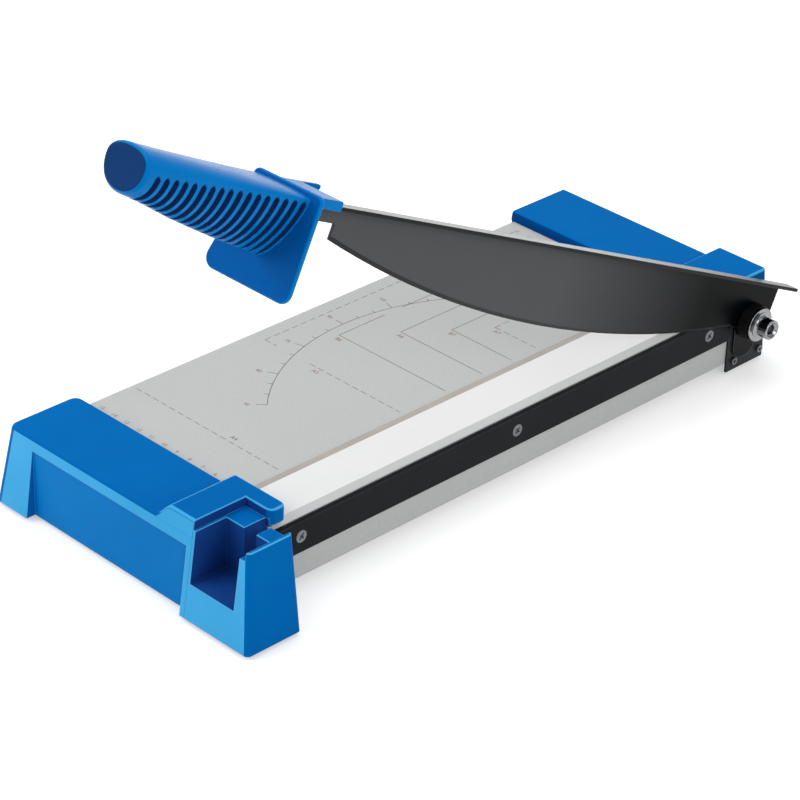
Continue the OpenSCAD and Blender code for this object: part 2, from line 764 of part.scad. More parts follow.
module rubber_feet() {
    color(rubber_black) place()
        for (at = feet) translate([at[0], at[1], floor_z]) rotate_extrude($fn = fine)
            polygon([
                [0, 0], [foot_r - 0.6, 0], [foot_r, 0.6], [foot_r, foot_h - 0.02],
                [stem_r, foot_h - 0.02], [stem_r, foot_h + stem_len - 1],
                [stem_r - 0.8, foot_h + stem_len], [0, foot_h + stem_len]
            ]);
}

// Fixed black knife along the table's edge
module bed_knife() {
    color(dark_steel) place() difference() {
        box([knife_x0, knife_end_y, -bed_knife_h], [knife_x1, bed_knife_over, 0]);
        for (y = bed_screw_ys) {
            bar_x(bed_screw_r + fit, knife_x0 - 1, knife_x1 + 1, y, -bed_screw_drop);
            translate([knife_x1 - 1.8, y, -bed_screw_drop]) rotate([0, 90, 0])
                cylinder(r1 = bed_screw_r + fit, r2 = bed_screw_head_r + fit, h = 1.8 + skin,
                    $fn = fine);
        }
    }
}

// Countersunk screws with a cross recess, flush with the knife's face
module bed_knife_screws() {
    head = 1.75;
    color(bright) place()
        for (y = bed_screw_ys) translate([knife_x1 - 0.05, y, -bed_screw_drop])
            rotate([0, -90, 0]) difference() {
                union() {
                    cylinder(r1 = bed_screw_head_r, r2 = bed_screw_r, h = head, $fn = fine);
                    cylinder(r = bed_screw_r - 0.04, h = bed_knife_t + sheet_t + backing_t - 1,
                        $fn = fine);
                }
                for (turn = [45, 135])
                    rotate(turn) translate([-2, -0.45, -1]) cube([4, 0.9, 2]);
            }
}

// Outline of the pressing strip in x and z, from the point where it starts on the left
module strip_outline(lip) {
    front = -strip_front_gap;
    back = front - strip_w;
    polygon([
        [back - lip, 0], [front, 0], [front, 0.5], [front - strip_bevel, strip_t],
        [back + strip_bevel * 0.7, strip_t], [back, strip_lip_t], [back - lip, strip_lip_t]
    ]);
}

module pressing_strip() {
    color(clear_white) place() translate([0, 0, strip_z0]) difference() {
        union() {
            along_y(near_y + loose, -far_lip - loose) strip_outline(strip_lip_w);
            along_y(near_y - strip_ear, strip_ear) strip_outline(skin);
        }
        for (y = strip_pin_ys)
            bar_z(guide_pin_r + 0.05, -1, strip_t + 1, strip_pin_x, y);
    }
}

module strip_guide_pins() {
    color(bright) place()
        for (y = strip_pin_ys)
            bar_z(guide_pin_r - 0.02, 0.15, block_roof + 1.3, strip_pin_x, y);
}

// Point on a spring's wire, with its end turns lying flat
function spring_point(t, low, high, r) =
    let(rise = min(max((t - 0.12) / 0.76, 0), 1))
    [r * cos(360 * t * spring_turns), r * sin(360 * t * spring_turns), low + (high - low) * rise];

// Wire of one spring, swept round its helix
module spring(low, high) {
    sides = 8;
    steps = 12 * spring_turns;
    wire = spring_wire / 2;
    r = spring_r - wire;
    points = [
        for (i = [0:steps], k = [0:sides - 1])
            let(t = i / steps, p = spring_point(t, low + wire, high - wire, r),
                out = 360 * t * spring_turns, side = 360 * k / sides)
            [p[0] + wire * cos(side) * cos(out), p[1] + wire * cos(side) * sin(out),
                p[2] + wire * sin(side)]
    ];
    walls = [
        for (i = [0:steps - 1], k = [0:sides - 1], half = [0, 1])
            let(a = i * sides + k, b = i * sides + (k + 1) % sides)
            half == 0 ? [a, a + sides, b] : [b, a + sides, b + sides]
    ];
    ends = [
        [for (k = [0:sides - 1]) k],
        [for (k = [sides - 1:-1:0]) steps * sides + k]
    ];
    polyhedron(points = points, faces = concat(walls, ends));
}

module strip_springs() {
    color(bright) place()
        for (y = strip_pin_ys) translate([strip_pin_x, y, 0])
            spring(strip_z0 + strip_t + fit, block_roof - fit);
}

// Dark plate that ties the pivot to the skirt and the far cap
module pivot_bracket() {
    color(dark_steel) place() difference() {
        box([skirt_x + 0.02, bracket_y0, -cap_drop - 0.3],
            [bracket_x1, bracket_y0 + bracket_len, pivot_z + 7]);
        bar_x(bolt_r + fit, skirt_x - 1, bracket_x1 + 1, pivot_y, pivot_z);
        for (y = bracket_screw_ys)
            bar_x(small_screw_r + fit, skirt_x - 1, bracket_x1 + 1, y, bracket_screw_z);
    }
}

// Outline of the bearing plate in y and z: round over the pivot, rounded at its foot
module bearing_outline() {
    half = bearing_w / 2;
    corner = 8;
    translate([pivot_y, pivot_z]) circle(r = half, $fn = fine);
    translate([pivot_y - half, -bearing_drop + corner])
        square([bearing_w, bearing_drop - corner + pivot_z]);
    translate([pivot_y - half + corner, -bearing_drop])
        square([bearing_w - 2 * corner, corner + 1]);
    for (side = [-1, 1])
        translate([pivot_y + side * (half - corner), -bearing_drop + corner])
            circle(r = corner, $fn = fine);
}

module bearing_plate() {
    color(dark_steel) place() difference() {
        along_x(bracket_x1 + 0.02, knife_x1) bearing_outline();
        bar_x(bolt_r + fit, bracket_x1 - 1, knife_x1 + 1, pivot_y, pivot_z);
    }
}

module bracket_screws() {
    color(bright) place()
        for (y = bracket_screw_ys)
            translate([bracket_x1 + 0.05 + small_head_h, y, bracket_screw_z])
                rotate([0, -90, 0]) small_screw(0, bracket_screw_len, bracket_head_r);
}

// Shoulder bolt with a socket in its round head
module pivot_bolt() {
    color(bright) place() difference() {
        union() {
            bar_x(bolt_r, nut_x0 - 1.5, collar_x1 + 1, pivot_y, pivot_z);
            bar_x(bolt_head_r, collar_x1 + disc_gap, collar_x1 + bolt_head_len,
                pivot_y, pivot_z);
        }
        translate([collar_x1 + bolt_head_len - socket_depth, pivot_y, pivot_z])
            rotate([0, 90, 0])
                cylinder(r = socket_af / sqrt(3), h = socket_depth + 1, $fn = 6);
        translate([collar_x1 + bolt_head_len - lead_depth, pivot_y, pivot_z])
            rotate([0, 90, 0])
                cylinder(r1 = 3.4, r2 = 4.6, h = lead_depth + skin, $fn = fine);
    }
}

module pivot_nut() {
    color(bright) place() difference() {
        translate([nut_x0, pivot_y, pivot_z]) rotate([0, 90, 0])
            cylinder(r = nut_af / sqrt(3), h = nut_t, $fn = 6);
        bar_x(bolt_r + 0.02, nut_x0 - 1, nut_x1 + 1, pivot_y, pivot_z);
    }
}

// Flat washer on the pivot bolt
module washer(r, x0, x1) {
    place() difference() {
        bar_x(r, x0, x1, pivot_y, pivot_z);
        bar_x(bolt_r + fit, x0 - 1, x1 + 1, pivot_y, pivot_z);
    }
}

module nut_washer() {
    color(bright) washer(nut_af * 0.62, nut_x1 + disc_gap, nut_x1 + disc_gap + thin_washer_t);
}

module spring_washers() {
    edge = 0.3;
    color(dark_steel) place()
        for (i = [0:disc_count - 1])
            translate([disc_x0 + i * (disc_t + disc_gap), pivot_y, pivot_z])
                rotate([0, 90, 0]) rotate_extrude($fn = fine)
                    polygon([
                        [bolt_r + fit, 0], [disc_r - edge, 0], [disc_r, edge],
                        [disc_r, disc_t - edge], [disc_r - edge, disc_t], [bolt_r + fit, disc_t]
                    ]);
}

module thin_washer() {
    color(bright) washer(washer_r * 0.93, disc_x1, thin_x1);
}

module thick_washer() {
    color(bright) washer(washer_r, thin_x1 + disc_gap, thick_x1);
}

// Coved collar between the washers and the bolt's head
module head_collar() {
    steps = 8;
    low = bolt_head_r + 1.6;
    high = bolt_head_r - 0.4;
    color(bright) place()
        translate([thick_x1 + disc_gap, pivot_y, pivot_z]) rotate([0, 90, 0])
            rotate_extrude($fn = fine)
                polygon(concat(
                    [[bolt_r + fit, 0], [low, 0]],
                    [for (i = [0:steps]) let(turn = 90 * i / steps)
                        [low - (low - high) * sin(turn), 0.4 + (collar_len - 0.4) * (1 - cos(turn))]],
                    [[bolt_r + fit, collar_len]]
                ));
}

// Outline of the blade's web in distance along the arm and height over the pivot's level
module web_outline() {
    intersection() {
        union() {
            translate([-web_tail, -far_off]) square([blade_end + web_tail, far_off + blade_top]);
            translate([blade_end - 1, blade_top - tang_h]) square([tang_end - blade_end + 1, tang_h]);
        }
        union() {
            translate([belly_at, edge_r - belly]) circle(r = edge_r, $fn = edge_fn);
            translate([blade_end - 1, blade_top - tang_h]) square([tang_end - blade_end + 1, tang_h]);
        }
    }
    circle(r = heel_r, $fn = fine);
}

module blade() {
    color(dark_steel) place_arm() difference() {
        union() {
            along_x(blade_x0, blade_x1) mirror([1, 0]) web_outline();
            box([blade_x0, -flange_end, blade_top - blade_t],
                [blade_x0 + flange_w, tail_len, blade_top]);
        }
        // Bevel ground on the outer side of the cutting edge
        difference() {
            box([blade_x0 - 1, -blade_end - 1, -far_off], [blade_x1 + 1, -heel_r - 3, 6]);
            translate([blade_x0, -belly_at, edge_r - belly]) rotate([0, 90, 0])
                cylinder(r1 = edge_r, r2 = edge_r - edge_bevel, h = blade_t, $fn = edge_fn);
            translate([blade_x0 - 2, -belly_at, edge_r - belly]) rotate([0, 90, 0])
                cylinder(r = edge_r - edge_bevel, h = blade_t + 4, $fn = edge_fn);
        }
        bar_x(bush_r + 0.02, blade_x0 - 1, blade_x1 + 1, 0, 0);
        for (a = grip_screw_as)
            bar_x(small_screw_r + loose, blade_x0 - 1, blade_x1 + 1, -a, grip_screw_n);
    }
}

module pivot_bush() {
    color("#b08d4a") place_arm() difference() {
        bar_x(bush_r, blade_x0 - 0.1, blade_x1 + 0.1, 0, 0);
        bar_x(bolt_r + bush_clear, blade_x0 - 1, blade_x1 + 1, 0, 0);
    }
}

// Outline of the guard in x and height over the pivot's level
module guard_outline() {
    r = guard_corner;
    top_r = 2.5;
    hull() {
        translate([guard_right - r, -guard_low + r]) circle(r = r, $fn = round_fn);
        translate([-guard_left + r, -guard_low + r]) circle(r = r, $fn = round_fn);
        translate([guard_right - top_r, guard_high - top_r]) circle(r = top_r, $fn = round_fn);
        translate([-guard_left_top + top_r, guard_high - top_r]) circle(r = top_r, $fn = round_fn);
    }
}

// Slot through the handle's pieces for the blade's tang
module tang_slot(a0, a1) {
    box([blade_x0 - fit, -a1, blade_top - tang_h - fit], [blade_x1 + fit, -a0, blade_top + fit]);
}

// Guard plate with the cover that hides the end of the blade's folded top
module hand_guard() {
    low = blade_top + 0.3;
    color(blue) place_arm() difference() {
        union() {
            along_y(-guard_a - guard_t, -guard_a) guard_outline();
            box([-cover_left, -guard_a - 1, low], [cover_right, -cover_a, low + cover_t]);
            box([cover_right - 1.6, -guard_a - 1, blade_top - blade_t],
                [cover_right, -cover_a, low + 1]);
            hull() {
                box([-cover_left, -guard_a - 1, low], [-cover_left + 2.2, -cover_a, low + cover_t]);
                translate([-cover_left, -cover_a + tab_len - 1.4, low + 1.4]) rotate([0, 90, 0])
                    cylinder(r = 1.4, h = 2.2, $fn = round_fn);
            }
            // Cheeks that hold the tang in front of the guard
            box([blade_x0 - 2.2, -guard_a - 1, blade_top - tang_h - 2],
                [blade_x1 + 2.2, -guard_a + 12, low + 1]);
        }
        tang_slot(blade_end, guard_a + guard_t + 1);
        box([blade_x0 - fit, -flange_end - 0.3, blade_top - blade_t - fit],
            [blade_x0 + flange_w + fit, -cover_a + 1, blade_top + fit]);
    }
}

// Cross-section of the grip at a distance along the arm, shrunk by an inset
module grip_section(a, low, high, inset) {
    translate([grip_mid_x, -a, (low + high) / 2]) rotate([90, 0, 0])
        linear_extrude(skin)
            scale([(grip_half_w - inset) / 10, ((high - low) / 2 - inset) / 10])
                circle(r = 10, $fn = 28);
}

// Solid form of the grip, shrunk by an inset
module grip_form(inset) {
    a0 = guard_a + guard_t + 0.05;
    span = butt_a - a0;
    rise = grip_top_back - grip_top_front;
    hull() {
        grip_section(a0, grip_low_front, grip_top_front, inset);
        grip_section(a0 + span / 3, grip_low_third, grip_top_front + rise / 3, inset);
        grip_section(a0 + span * 2 / 3, grip_low_two_thirds, grip_top_front + rise * 2 / 3, inset);
        grip_section(butt_a - butt_edge, grip_low_back, grip_top_back, inset);
        grip_section(butt_a - skin, grip_low_back, grip_top_back, inset + butt_edge);
    }
}

module hand_grip() {
    first = butt_a - groove_first;
    keep = 3;
    color(blue) place_arm() difference() {
        union() {
            difference() {
                grip_form(0);
                for (i = [0:groove_count - 1], side = [0, 1])
                    translate([grip_mid_x, 0, 0]) mirror([side, 0, 0])
                        box([keep, -first + i * groove_pitch, -far_off],
                            [far_off, -first + i * groove_pitch + groove_w, groove_top]);
            }
            grip_form(groove_depth);
        }
        tang_slot(guard_a, tang_end + 0.3);
        for (a = grip_screw_as) {
            bar_x(small_screw_r, grip_seat_x, blade_x1 + 5, -a, grip_screw_n);
            bar_x(small_head_r + loose, -bore_run, grip_seat_x, -a, grip_screw_n);
        }
    }
}

module grip_screws() {
    color(bright) place_arm()
        for (a = grip_screw_as)
            translate([grip_seat_x - small_head_h - 0.05, -a, grip_screw_n])
                rotate([0, 90, 0]) small_screw(0, grip_screw_len, small_head_r);
}

table_sheet();
table_rails();
backing_bar();
far_end_cap();
near_end_cap();
far_cap_screws();
near_cap_screws();
rubber_feet();
bed_knife();
bed_knife_screws();
pressing_strip();
strip_guide_pins();
strip_springs();
pivot_bracket();
bearing_plate();
bracket_screws();
pivot_bolt();
pivot_nut();
nut_washer();
spring_washers();
thin_washer();
thick_washer();
head_collar();
blade();
pivot_bush();
hand_guard();
hand_grip();
grip_screws();
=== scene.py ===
"""Looks of the desk lever cutter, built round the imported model.

Lengths are working millimetres: x = 0 is the cutting edge with the table on its negative
side, y = 0 is the paper stop at the far end, and z = 0 is the table top. Places on the arm
are x, the distance a along the arm from the pivot, and the height n over the pivot's level.
"""

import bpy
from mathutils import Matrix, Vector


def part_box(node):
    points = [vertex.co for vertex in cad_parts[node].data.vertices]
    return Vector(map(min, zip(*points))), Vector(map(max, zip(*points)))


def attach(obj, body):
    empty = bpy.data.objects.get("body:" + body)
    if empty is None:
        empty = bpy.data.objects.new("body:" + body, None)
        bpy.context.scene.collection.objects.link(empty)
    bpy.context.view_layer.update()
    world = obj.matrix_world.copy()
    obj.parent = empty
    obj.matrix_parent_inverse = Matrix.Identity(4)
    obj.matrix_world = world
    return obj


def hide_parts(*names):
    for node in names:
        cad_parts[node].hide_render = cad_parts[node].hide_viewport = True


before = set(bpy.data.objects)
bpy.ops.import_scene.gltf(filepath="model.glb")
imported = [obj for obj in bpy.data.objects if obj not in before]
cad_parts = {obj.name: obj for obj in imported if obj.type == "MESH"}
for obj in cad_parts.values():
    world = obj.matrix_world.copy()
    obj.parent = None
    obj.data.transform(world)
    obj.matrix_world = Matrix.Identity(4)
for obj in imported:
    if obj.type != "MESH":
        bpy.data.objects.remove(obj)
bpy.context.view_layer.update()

import logging
import math
from dataclasses import dataclass, field
from enum import Enum
from typing import Callable, Iterable, Sequence

import bmesh
import bpy
from mathutils import Matrix, Vector

log = logging.getLogger("cutter")

MM = 0.001
# Points of a worked solid nearer than this, in metres, become one
WELD = 2e-6
# Faces of a worked solid that turn less than this become one
FLAT_TURN = math.radians(0.4)
Point = tuple[float, float, float]
Flat = tuple[float, float]
Place = Callable[[float, float, float], Vector]
Object = bpy.types.Object
Material = bpy.types.Material


class Datum:
    """Turns working millimetres into the frame's metres."""

    TILT = math.radians(25.2)
    PIVOT = (22.0, -9.0)

    def __init__(self) -> None:
        """Finds the working zero from the bed knife's high corner."""
        self.zero = Vector(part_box("bed_knife")[1]) - Vector((2.0, 8.5, 0.0)) * MM

    def base(self, x: float, y: float, z: float) -> Vector:
        """Place on the base."""
        return self.zero + Vector((x, y, z)) * MM

    def arm(self, x: float, a: float, n: float) -> Vector:
        """Place on the arm, in its stored pose."""
        cos, sin = math.cos(self.TILT), math.sin(self.TILT)
        return self.base(x, self.PIVOT[0] - a * cos + n * sin, self.PIVOT[1] + a * sin + n * cos)

    def arm_way(self, a: float, n: float) -> Vector:
        """Direction along and over the arm, in its stored pose."""
        return (self.arm(0.0, a, n) - self.arm(0.0, 0.0, 0.0)).normalized()

    def place(self, point: Vector) -> Vector:
        """Working millimetres of a place in the frame."""
        return (point - self.zero) / MM


DATUM = Datum()


class Op(Enum):
    """What a tool solid does to the solid it is used on."""

    JOIN = "UNION"
    CUT = "DIFFERENCE"


class Axis(Enum):
    """Direction that an outline is drawn out along."""

    X = "x"
    Y = "y"
    Z = "z"

    def point(self, u: float, v: float, t: float) -> Point:
        """Place of the outline's point (u, v) at the distance t along the axis."""
        return {"x": (t, u, v), "y": (u, t, v), "z": (u, v, t)}[self.value]


# Shapes


def new_object(name: str, bm: bmesh.types.BMesh) -> Object:
    """Puts a finished bmesh in the scene.

    Args:
        name: name of the object and its mesh.
        bm: the mesh, which is freed here.

    Returns:
        The new object.
    """
    bmesh.ops.recalc_face_normals(bm, faces=bm.faces)
    mesh = bpy.data.meshes.new(name)
    bm.to_mesh(mesh)
    bm.free()
    obj = bpy.data.objects.new(name, mesh)
    bpy.context.scene.collection.objects.link(obj)
    return obj


def skin(rings: Sequence[Sequence[Point]], place: Place = DATUM.base, closed: bool = False,
         merge: float = 0.0) -> Object:
    """Skins a row of rings into one solid.

    Args:
        rings: closed rings of points, all with the same count.
        place: turns a point into the frame's metres.
        closed: True where the last ring meets the first, as on a turned part.
        merge: distance in metres under which points become one.

    Returns:
        The solid as an object.
    """
    bm = bmesh.new()
    rows = [[bm.verts.new(place(*p)) for p in ring] for ring in rings]
    following = rows[1:] + rows[:1] if closed else rows[1:]
    for low, high in zip(rows, following):
        for k, vert in enumerate(low):
            j = (k + 1) % len(low)
            bm.faces.new((vert, low[j], high[j], high[k]))
    if not closed:
        bm.faces.new(rows[0])
        bm.faces.new(rows[-1])
    if merge:
        bmesh.ops.remove_doubles(bm, verts=bm.verts, dist=merge)
        bmesh.ops.dissolve_degenerate(bm, edges=bm.edges, dist=merge)
    return new_object("blank", bm)


def prism(axis: Axis, outline: Sequence[Flat], low: float, high: float,
          place: Place = DATUM.base) -> Object:
    """Solid of an outline in the two other directions, drawn along an axis from low to high."""
    return skin([[axis.point(u, v, t) for u, v in outline] for t in (low, high)], place)


def box(low: Point, high: Point, place: Place = DATUM.base) -> Object:
    """Plain block between two corners, used only as a tool solid."""
    (x0, y0, z0), (x1, y1, z1) = low, high
    return prism(Axis.Z, [(x0, y0), (x1, y0), (x1, y1), (x0, y1)], z0, z1, place)


def disc(u: float, v: float, r: float, steps: int = 48) -> list[Flat]:
    """Points of a circle."""
    return [(u + r * math.cos(math.tau * k / steps), v + r * math.sin(math.tau * k / steps))
            for k in range(steps)]


def arc(u: float, v: float, r: float, start: float, end: float, steps: int = 6) -> list[Flat]:
    """Points of an arc between two angles in degrees."""
    turns = [math.radians(start + (end - start) * k / steps) for k in range(steps + 1)]
    return [(u + r * math.cos(t), v + r * math.sin(t)) for t in turns]


def rounded(x0: float, x1: float, y0: float, y1: float, r: float, steps: int = 4) -> list[Flat]:
    """Rectangle with rounded corners."""
    return [*arc(x1 - r, y0 + r, r, -90, 0, steps), *arc(x1 - r, y1 - r, r, 0, 90, steps),
            *arc(x0 + r, y1 - r, r, 90, 180, steps), *arc(x0 + r, y0 + r, r, 180, 270, steps)]


def lathe(profile: Sequence[Flat], steps: int = 72) -> Object:
    """Turns a profile round the pivot's axis.

    Args:
        profile: closed profile as radius and x.
        steps: count of steps round the axis.

    Returns:
        The turned solid.
    """
    y, z = DATUM.PIVOT
    rings = []
    for k in range(steps):
        turn = math.tau * k / steps
        rings.append([(x, y + r * math.cos(turn), z + r * math.sin(turn)) for r, x in profile])
    return skin(rings, closed=True, merge=1e-7)


def post(x: float, y: float, r: float, low: float, high: float, steps: int = 48) -> Object:
    """Upright round tool solid."""
    return prism(Axis.Z, disc(x, y, r, steps), low, high)


def bar(y: float, z: float, r: float, low: float, high: float, steps: int = 48) -> Object:
    """Round tool solid that lies along x."""
    return prism(Axis.X, disc(y, z, r, steps), low, high)


def share(value: float) -> float:
    """Value kept between 0 and 1."""
    return min(1.0, max(0.0, value))


def quarter(steps: int) -> list[float]:
    """Angles of a quarter turn, from nothing."""
    return [math.pi / 2 * k / steps for k in range(steps + 1)]


def edge_tool(axis: Axis, corner: Flat, inward: Flat, r: float, low: float, high: float) -> Object:
    """Tool that rounds one straight edge.

    Args:
        axis: direction of the edge.
        corner: the edge's place in the two other directions.
        inward: signs that point from the corner into the material.
        r: radius of the rounded edge.
        low: start along the axis.
        high: end along the axis.

    Returns:
        The waste outside the rounded edge, as a solid.
    """
    (u, v), (du, dv), out = corner, inward, 0.2
    curve = [(u + du * r * (1 - math.sin(t)), v + dv * r * (1 - math.cos(t))) for t in quarter(6)]
    outline = [(u - du * out, v - dv * out), (u + du * r, v - dv * out), *curve,
               (u - du * out, v + dv * r)]
    return prism(axis, outline, low, high)


@dataclass(frozen=True)
class Block:
    """Block with rounded top edges, whose walls can lean outward toward the foot.

    The four sides are always left, right, front and back. Each lean is the sideways way for
    one millimetre down, and each radius is that of the top edge on that side.
    """

    x: Flat
    y: Flat
    z: Flat
    lean: tuple[float, float, float, float] = (0.0, 0.0, 0.0, 0.0)
    top: tuple[float, float, float, float] = (1.0, 1.0, 1.0, 1.0)
    corner: float = 1.0
    steps: int = 6

    def inset(self, side: int, z: float) -> float:
        """Finds how far inside its nominal top line a side's wall is.

        Args:
            side: 0 to 3 for left, right, front and back.
            z: the height.

        Returns:
            The distance, negative where the wall leans outward.
        """
        lean, r, high = self.lean[side], self.top[side], self.z[1]
        slope = math.sqrt(1 + lean * lean)
        if r and z > high - r + r * lean / slope:
            return r * (slope - lean) - math.sqrt(max(0.0, r * r - (z - high + r) ** 2))
        return -lean * (high - z)

    def solid(self) -> Object:
        """Builds the block from level rings.

        Returns:
            The block as an object.
        """
        high = self.z[1]
        levels = {round(self.z[0], 4), round(high, 4)}
        for r in self.top:
            levels |= {round(high - r + r * math.sin(turn), 4) for turn in quarter(self.steps)}
        rings = []
        for z in sorted(level for level in levels if level >= self.z[0]):
            left, right, front, back = (self.inset(side, z) for side in range(4))
            r = max(self.corner - max(0.0, left, right, front, back), 0.25)
            ring = rounded(self.x[0] + left, self.x[1] - right, self.y[0] + front,
                           self.y[1] - back, r)
            rings.append([(u, v, z) for u, v in ring])
        return skin(rings)


Step = tuple[Op, Object]


def work(blank: Object, steps: Iterable[Step]) -> Object:
    """Joins tool solids to a blank or cuts them out of it, in order.

    Args:
        blank: the solid that is worked on.
        steps: what to do, and the tool solid to do it with.

    Returns:
        The blank with its new mesh; the tool solids are gone.
    """
    tools = []
    for op, tool in steps:
        modifier = blank.modifiers.new(op.name, "BOOLEAN")
        modifier.operation = op.value
        modifier.solver = "EXACT"
        modifier.object = tool
        tools.append(tool)
    graph = bpy.context.evaluated_depsgraph_get()
    mesh = bpy.data.meshes.new_from_object(blank.evaluated_get(graph))
    blank.modifiers.clear()
    blank.data = mesh
    for tool in tools:
        bpy.data.objects.remove(tool)
    bm = bmesh.new()
    bm.from_mesh(mesh)
    bmesh.ops.remove_doubles(bm, verts=bm.verts, dist=WELD)
    bmesh.ops.dissolve_degenerate(bm, edges=bm.edges, dist=WELD)
    bmesh.ops.dissolve_limit(bm, angle_limit=FLAT_TURN, verts=bm.verts, edges=bm.edges)
    bm.to_mesh(mesh)
    bm.free()
    return blank


def merged(objects: Sequence[Object]) -> Object:
    """Puts the meshes of several objects into one.

    Args:
        objects: the objects, which are gone afterwards.

    Returns:
        The one object.
    """
    bm = bmesh.new()
    for obj in objects:
        bm.from_mesh(obj.data)
    for obj in objects:
        bpy.data.objects.remove(obj)
    return new_object("blank", bm)


def dress(piece: Object, number: int, chosen: Callable[[bpy.types.MeshPolygon], bool]) -> None:
    """Gives one of a piece's materials to the faces that are chosen.

    Args:
        piece: the mounted piece.
        number: place of the material in the piece's list.
        chosen: tells of a face whether it takes the material.
    """
    for face in piece.data.polygons:
        if chosen(face):
            face.material_index = number


def painted_highlight_rounding(face: bpy.types.MeshPolygon, above: float) -> bool:
    """Whether a face lies on a rounded edge that stands over a height of the base; these faces
    take a painted highlight.
    """
    x, y, z = face.normal
    return DATUM.place(face.center).z > above and 0.25 < z < 0.97 and max(abs(x), abs(y)) > 0.2


def mount(obj: Object, name: str, body: str, finishes: Sequence["Finishes"],
          nodes: Sequence[str] = (), crease: float = 30.0) -> Object:
    """Makes an object a piece of the cutter.

    Args:
        obj: the finished shape.
        name: name of the piece.
        body: CAD body that it rides on.
        finishes: its materials, in the order of the mesh's material numbers.
        nodes: CAD nodes that it stands for.
        crease: angle in degrees above which an edge stays sharp.

    Returns:
        The piece.
    """
    obj.name = name
    obj.data.name = name
    obj.data.materials.clear()
    for finish in finishes:
        obj.data.materials.append(finish.material())
    obj.data.shade_smooth()
    obj.data.set_sharp_from_angle(angle=math.radians(crease))
    weigh = obj.modifiers.new("flats", "WEIGHTED_NORMAL")
    weigh.keep_sharp = True
    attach(obj, body)
    if nodes:
        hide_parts(*nodes)
    log.info("%s rides on %s, %d faces", name, body, len(obj.data.polygons))
    return obj


# Finishes, and the painted light and shade


def colour(code: str) -> tuple[float, float, float, float]:
    """Turns a hex code into a colour.

    Args:
        code: # and six hex digits.

    Returns:
        Red, green and blue in linear light, and 1 for opaque.
    """
    parts = [int(code[k:k + 2], 16) / 255 for k in (1, 3, 5)]
    red, green, blue = (p / 12.92 if p <= 0.04045 else ((p + 0.055) / 1.055) ** 2.4 for p in parts)
    return red, green, blue, 1.0


class Sheet:
    """Node sheet of a material or a world, with short calls for the nodes drawn on it."""

    def __init__(self, owner: Material | bpy.types.World, output: str, place: str) -> None:
        """Empties the owner's sheet.

        Args:
            owner: the material or world.
            output: type of its output node.
            place: name of the coordinates that its patterns lie in.
        """
        owner.use_nodes = True
        self.tree = owner.node_tree
        self.tree.nodes.clear()
        self.surface = self.add(output).inputs["Surface"]
        self.place = self.add("ShaderNodeTexCoord").outputs[place]

    def add(self, kind: str, settings: dict | None = None, **sockets: object) -> bpy.types.Node:
        """Adds a node.

        Args:
            kind: the node's type.
            settings: its own options.
            sockets: inputs by name, with _ for a space, each a value or an output to link.

        Returns:
            The node.
        """
        node = self.tree.nodes.new(kind)
        for key, value in (settings or {}).items():
            setattr(node, key, value)
        for key, value in sockets.items():
            self.feed(node.inputs[key.replace("_", " ")], value)
        return node

    def feed(self, socket: bpy.types.NodeSocket, value: object) -> None:
        """Sets an input to a value, or links an output to it.

        Args:
            socket: the input.
            value: a plain value, or another node's output.
        """
        if isinstance(value, bpy.types.NodeSocket):
            self.tree.links.new(value, socket)
        else:
            socket.default_value = value

    def noise(self, size: float, detail: float = 2.0) -> bpy.types.NodeSocket:
        """Noise whose patches are about size millimetres wide."""
        return self.add("ShaderNodeTexNoise", Vector=self.place, Scale=1 / (size * MM),
                        Detail=detail).outputs["Fac"]

    def spread(self, value: bpy.types.NodeSocket, low: float, high: float, start: float = 0.3,
               end: float = 0.7, curve: str = "LINEAR") -> bpy.types.NodeSocket:
        """Maps a value from start..end to low..high."""
        return self.add("ShaderNodeMapRange", {"interpolation_type": curve}, Value=value,
                        From_Min=start, From_Max=end, To_Min=low, To_Max=high).outputs[0]

    def work(self, operation: str, first: object, second: object,
             kind: str = "ShaderNodeMath") -> bpy.types.NodeSocket:
        """Works two inputs into one value.

        Args:
            operation: name of the node's operation.
            first: a plain value or an output.
            second: a plain value or an output.
            kind: the node's type.

        Returns:
            The output with the value.
        """
        node = self.add(kind, {"operation": operation})
        self.feed(node.inputs[0], first)
        self.feed(node.inputs[1], second)
        return node.outputs["Value"]

    def dot(self, first: object, second: object) -> bpy.types.NodeSocket:
        """Dot product of two vectors."""
        return self.work("DOT_PRODUCT", first, second, "ShaderNodeVectorMath")

    def mix(self, factor: object, first: object, second: object) -> bpy.types.NodeSocket:
        """Mixes two colours.

        Args:
            factor: share of the second colour, from 0 to 1.
            first: a colour or an output.
            second: a colour or an output.

        Returns:
            The output with the mixed colour.
        """
        node = self.add("ShaderNodeMix", {"data_type": "RGBA"})
        self.feed(node.inputs[0], factor)
        self.feed(node.inputs[6], first)
        self.feed(node.inputs[7], second)
        return node.outputs[2]


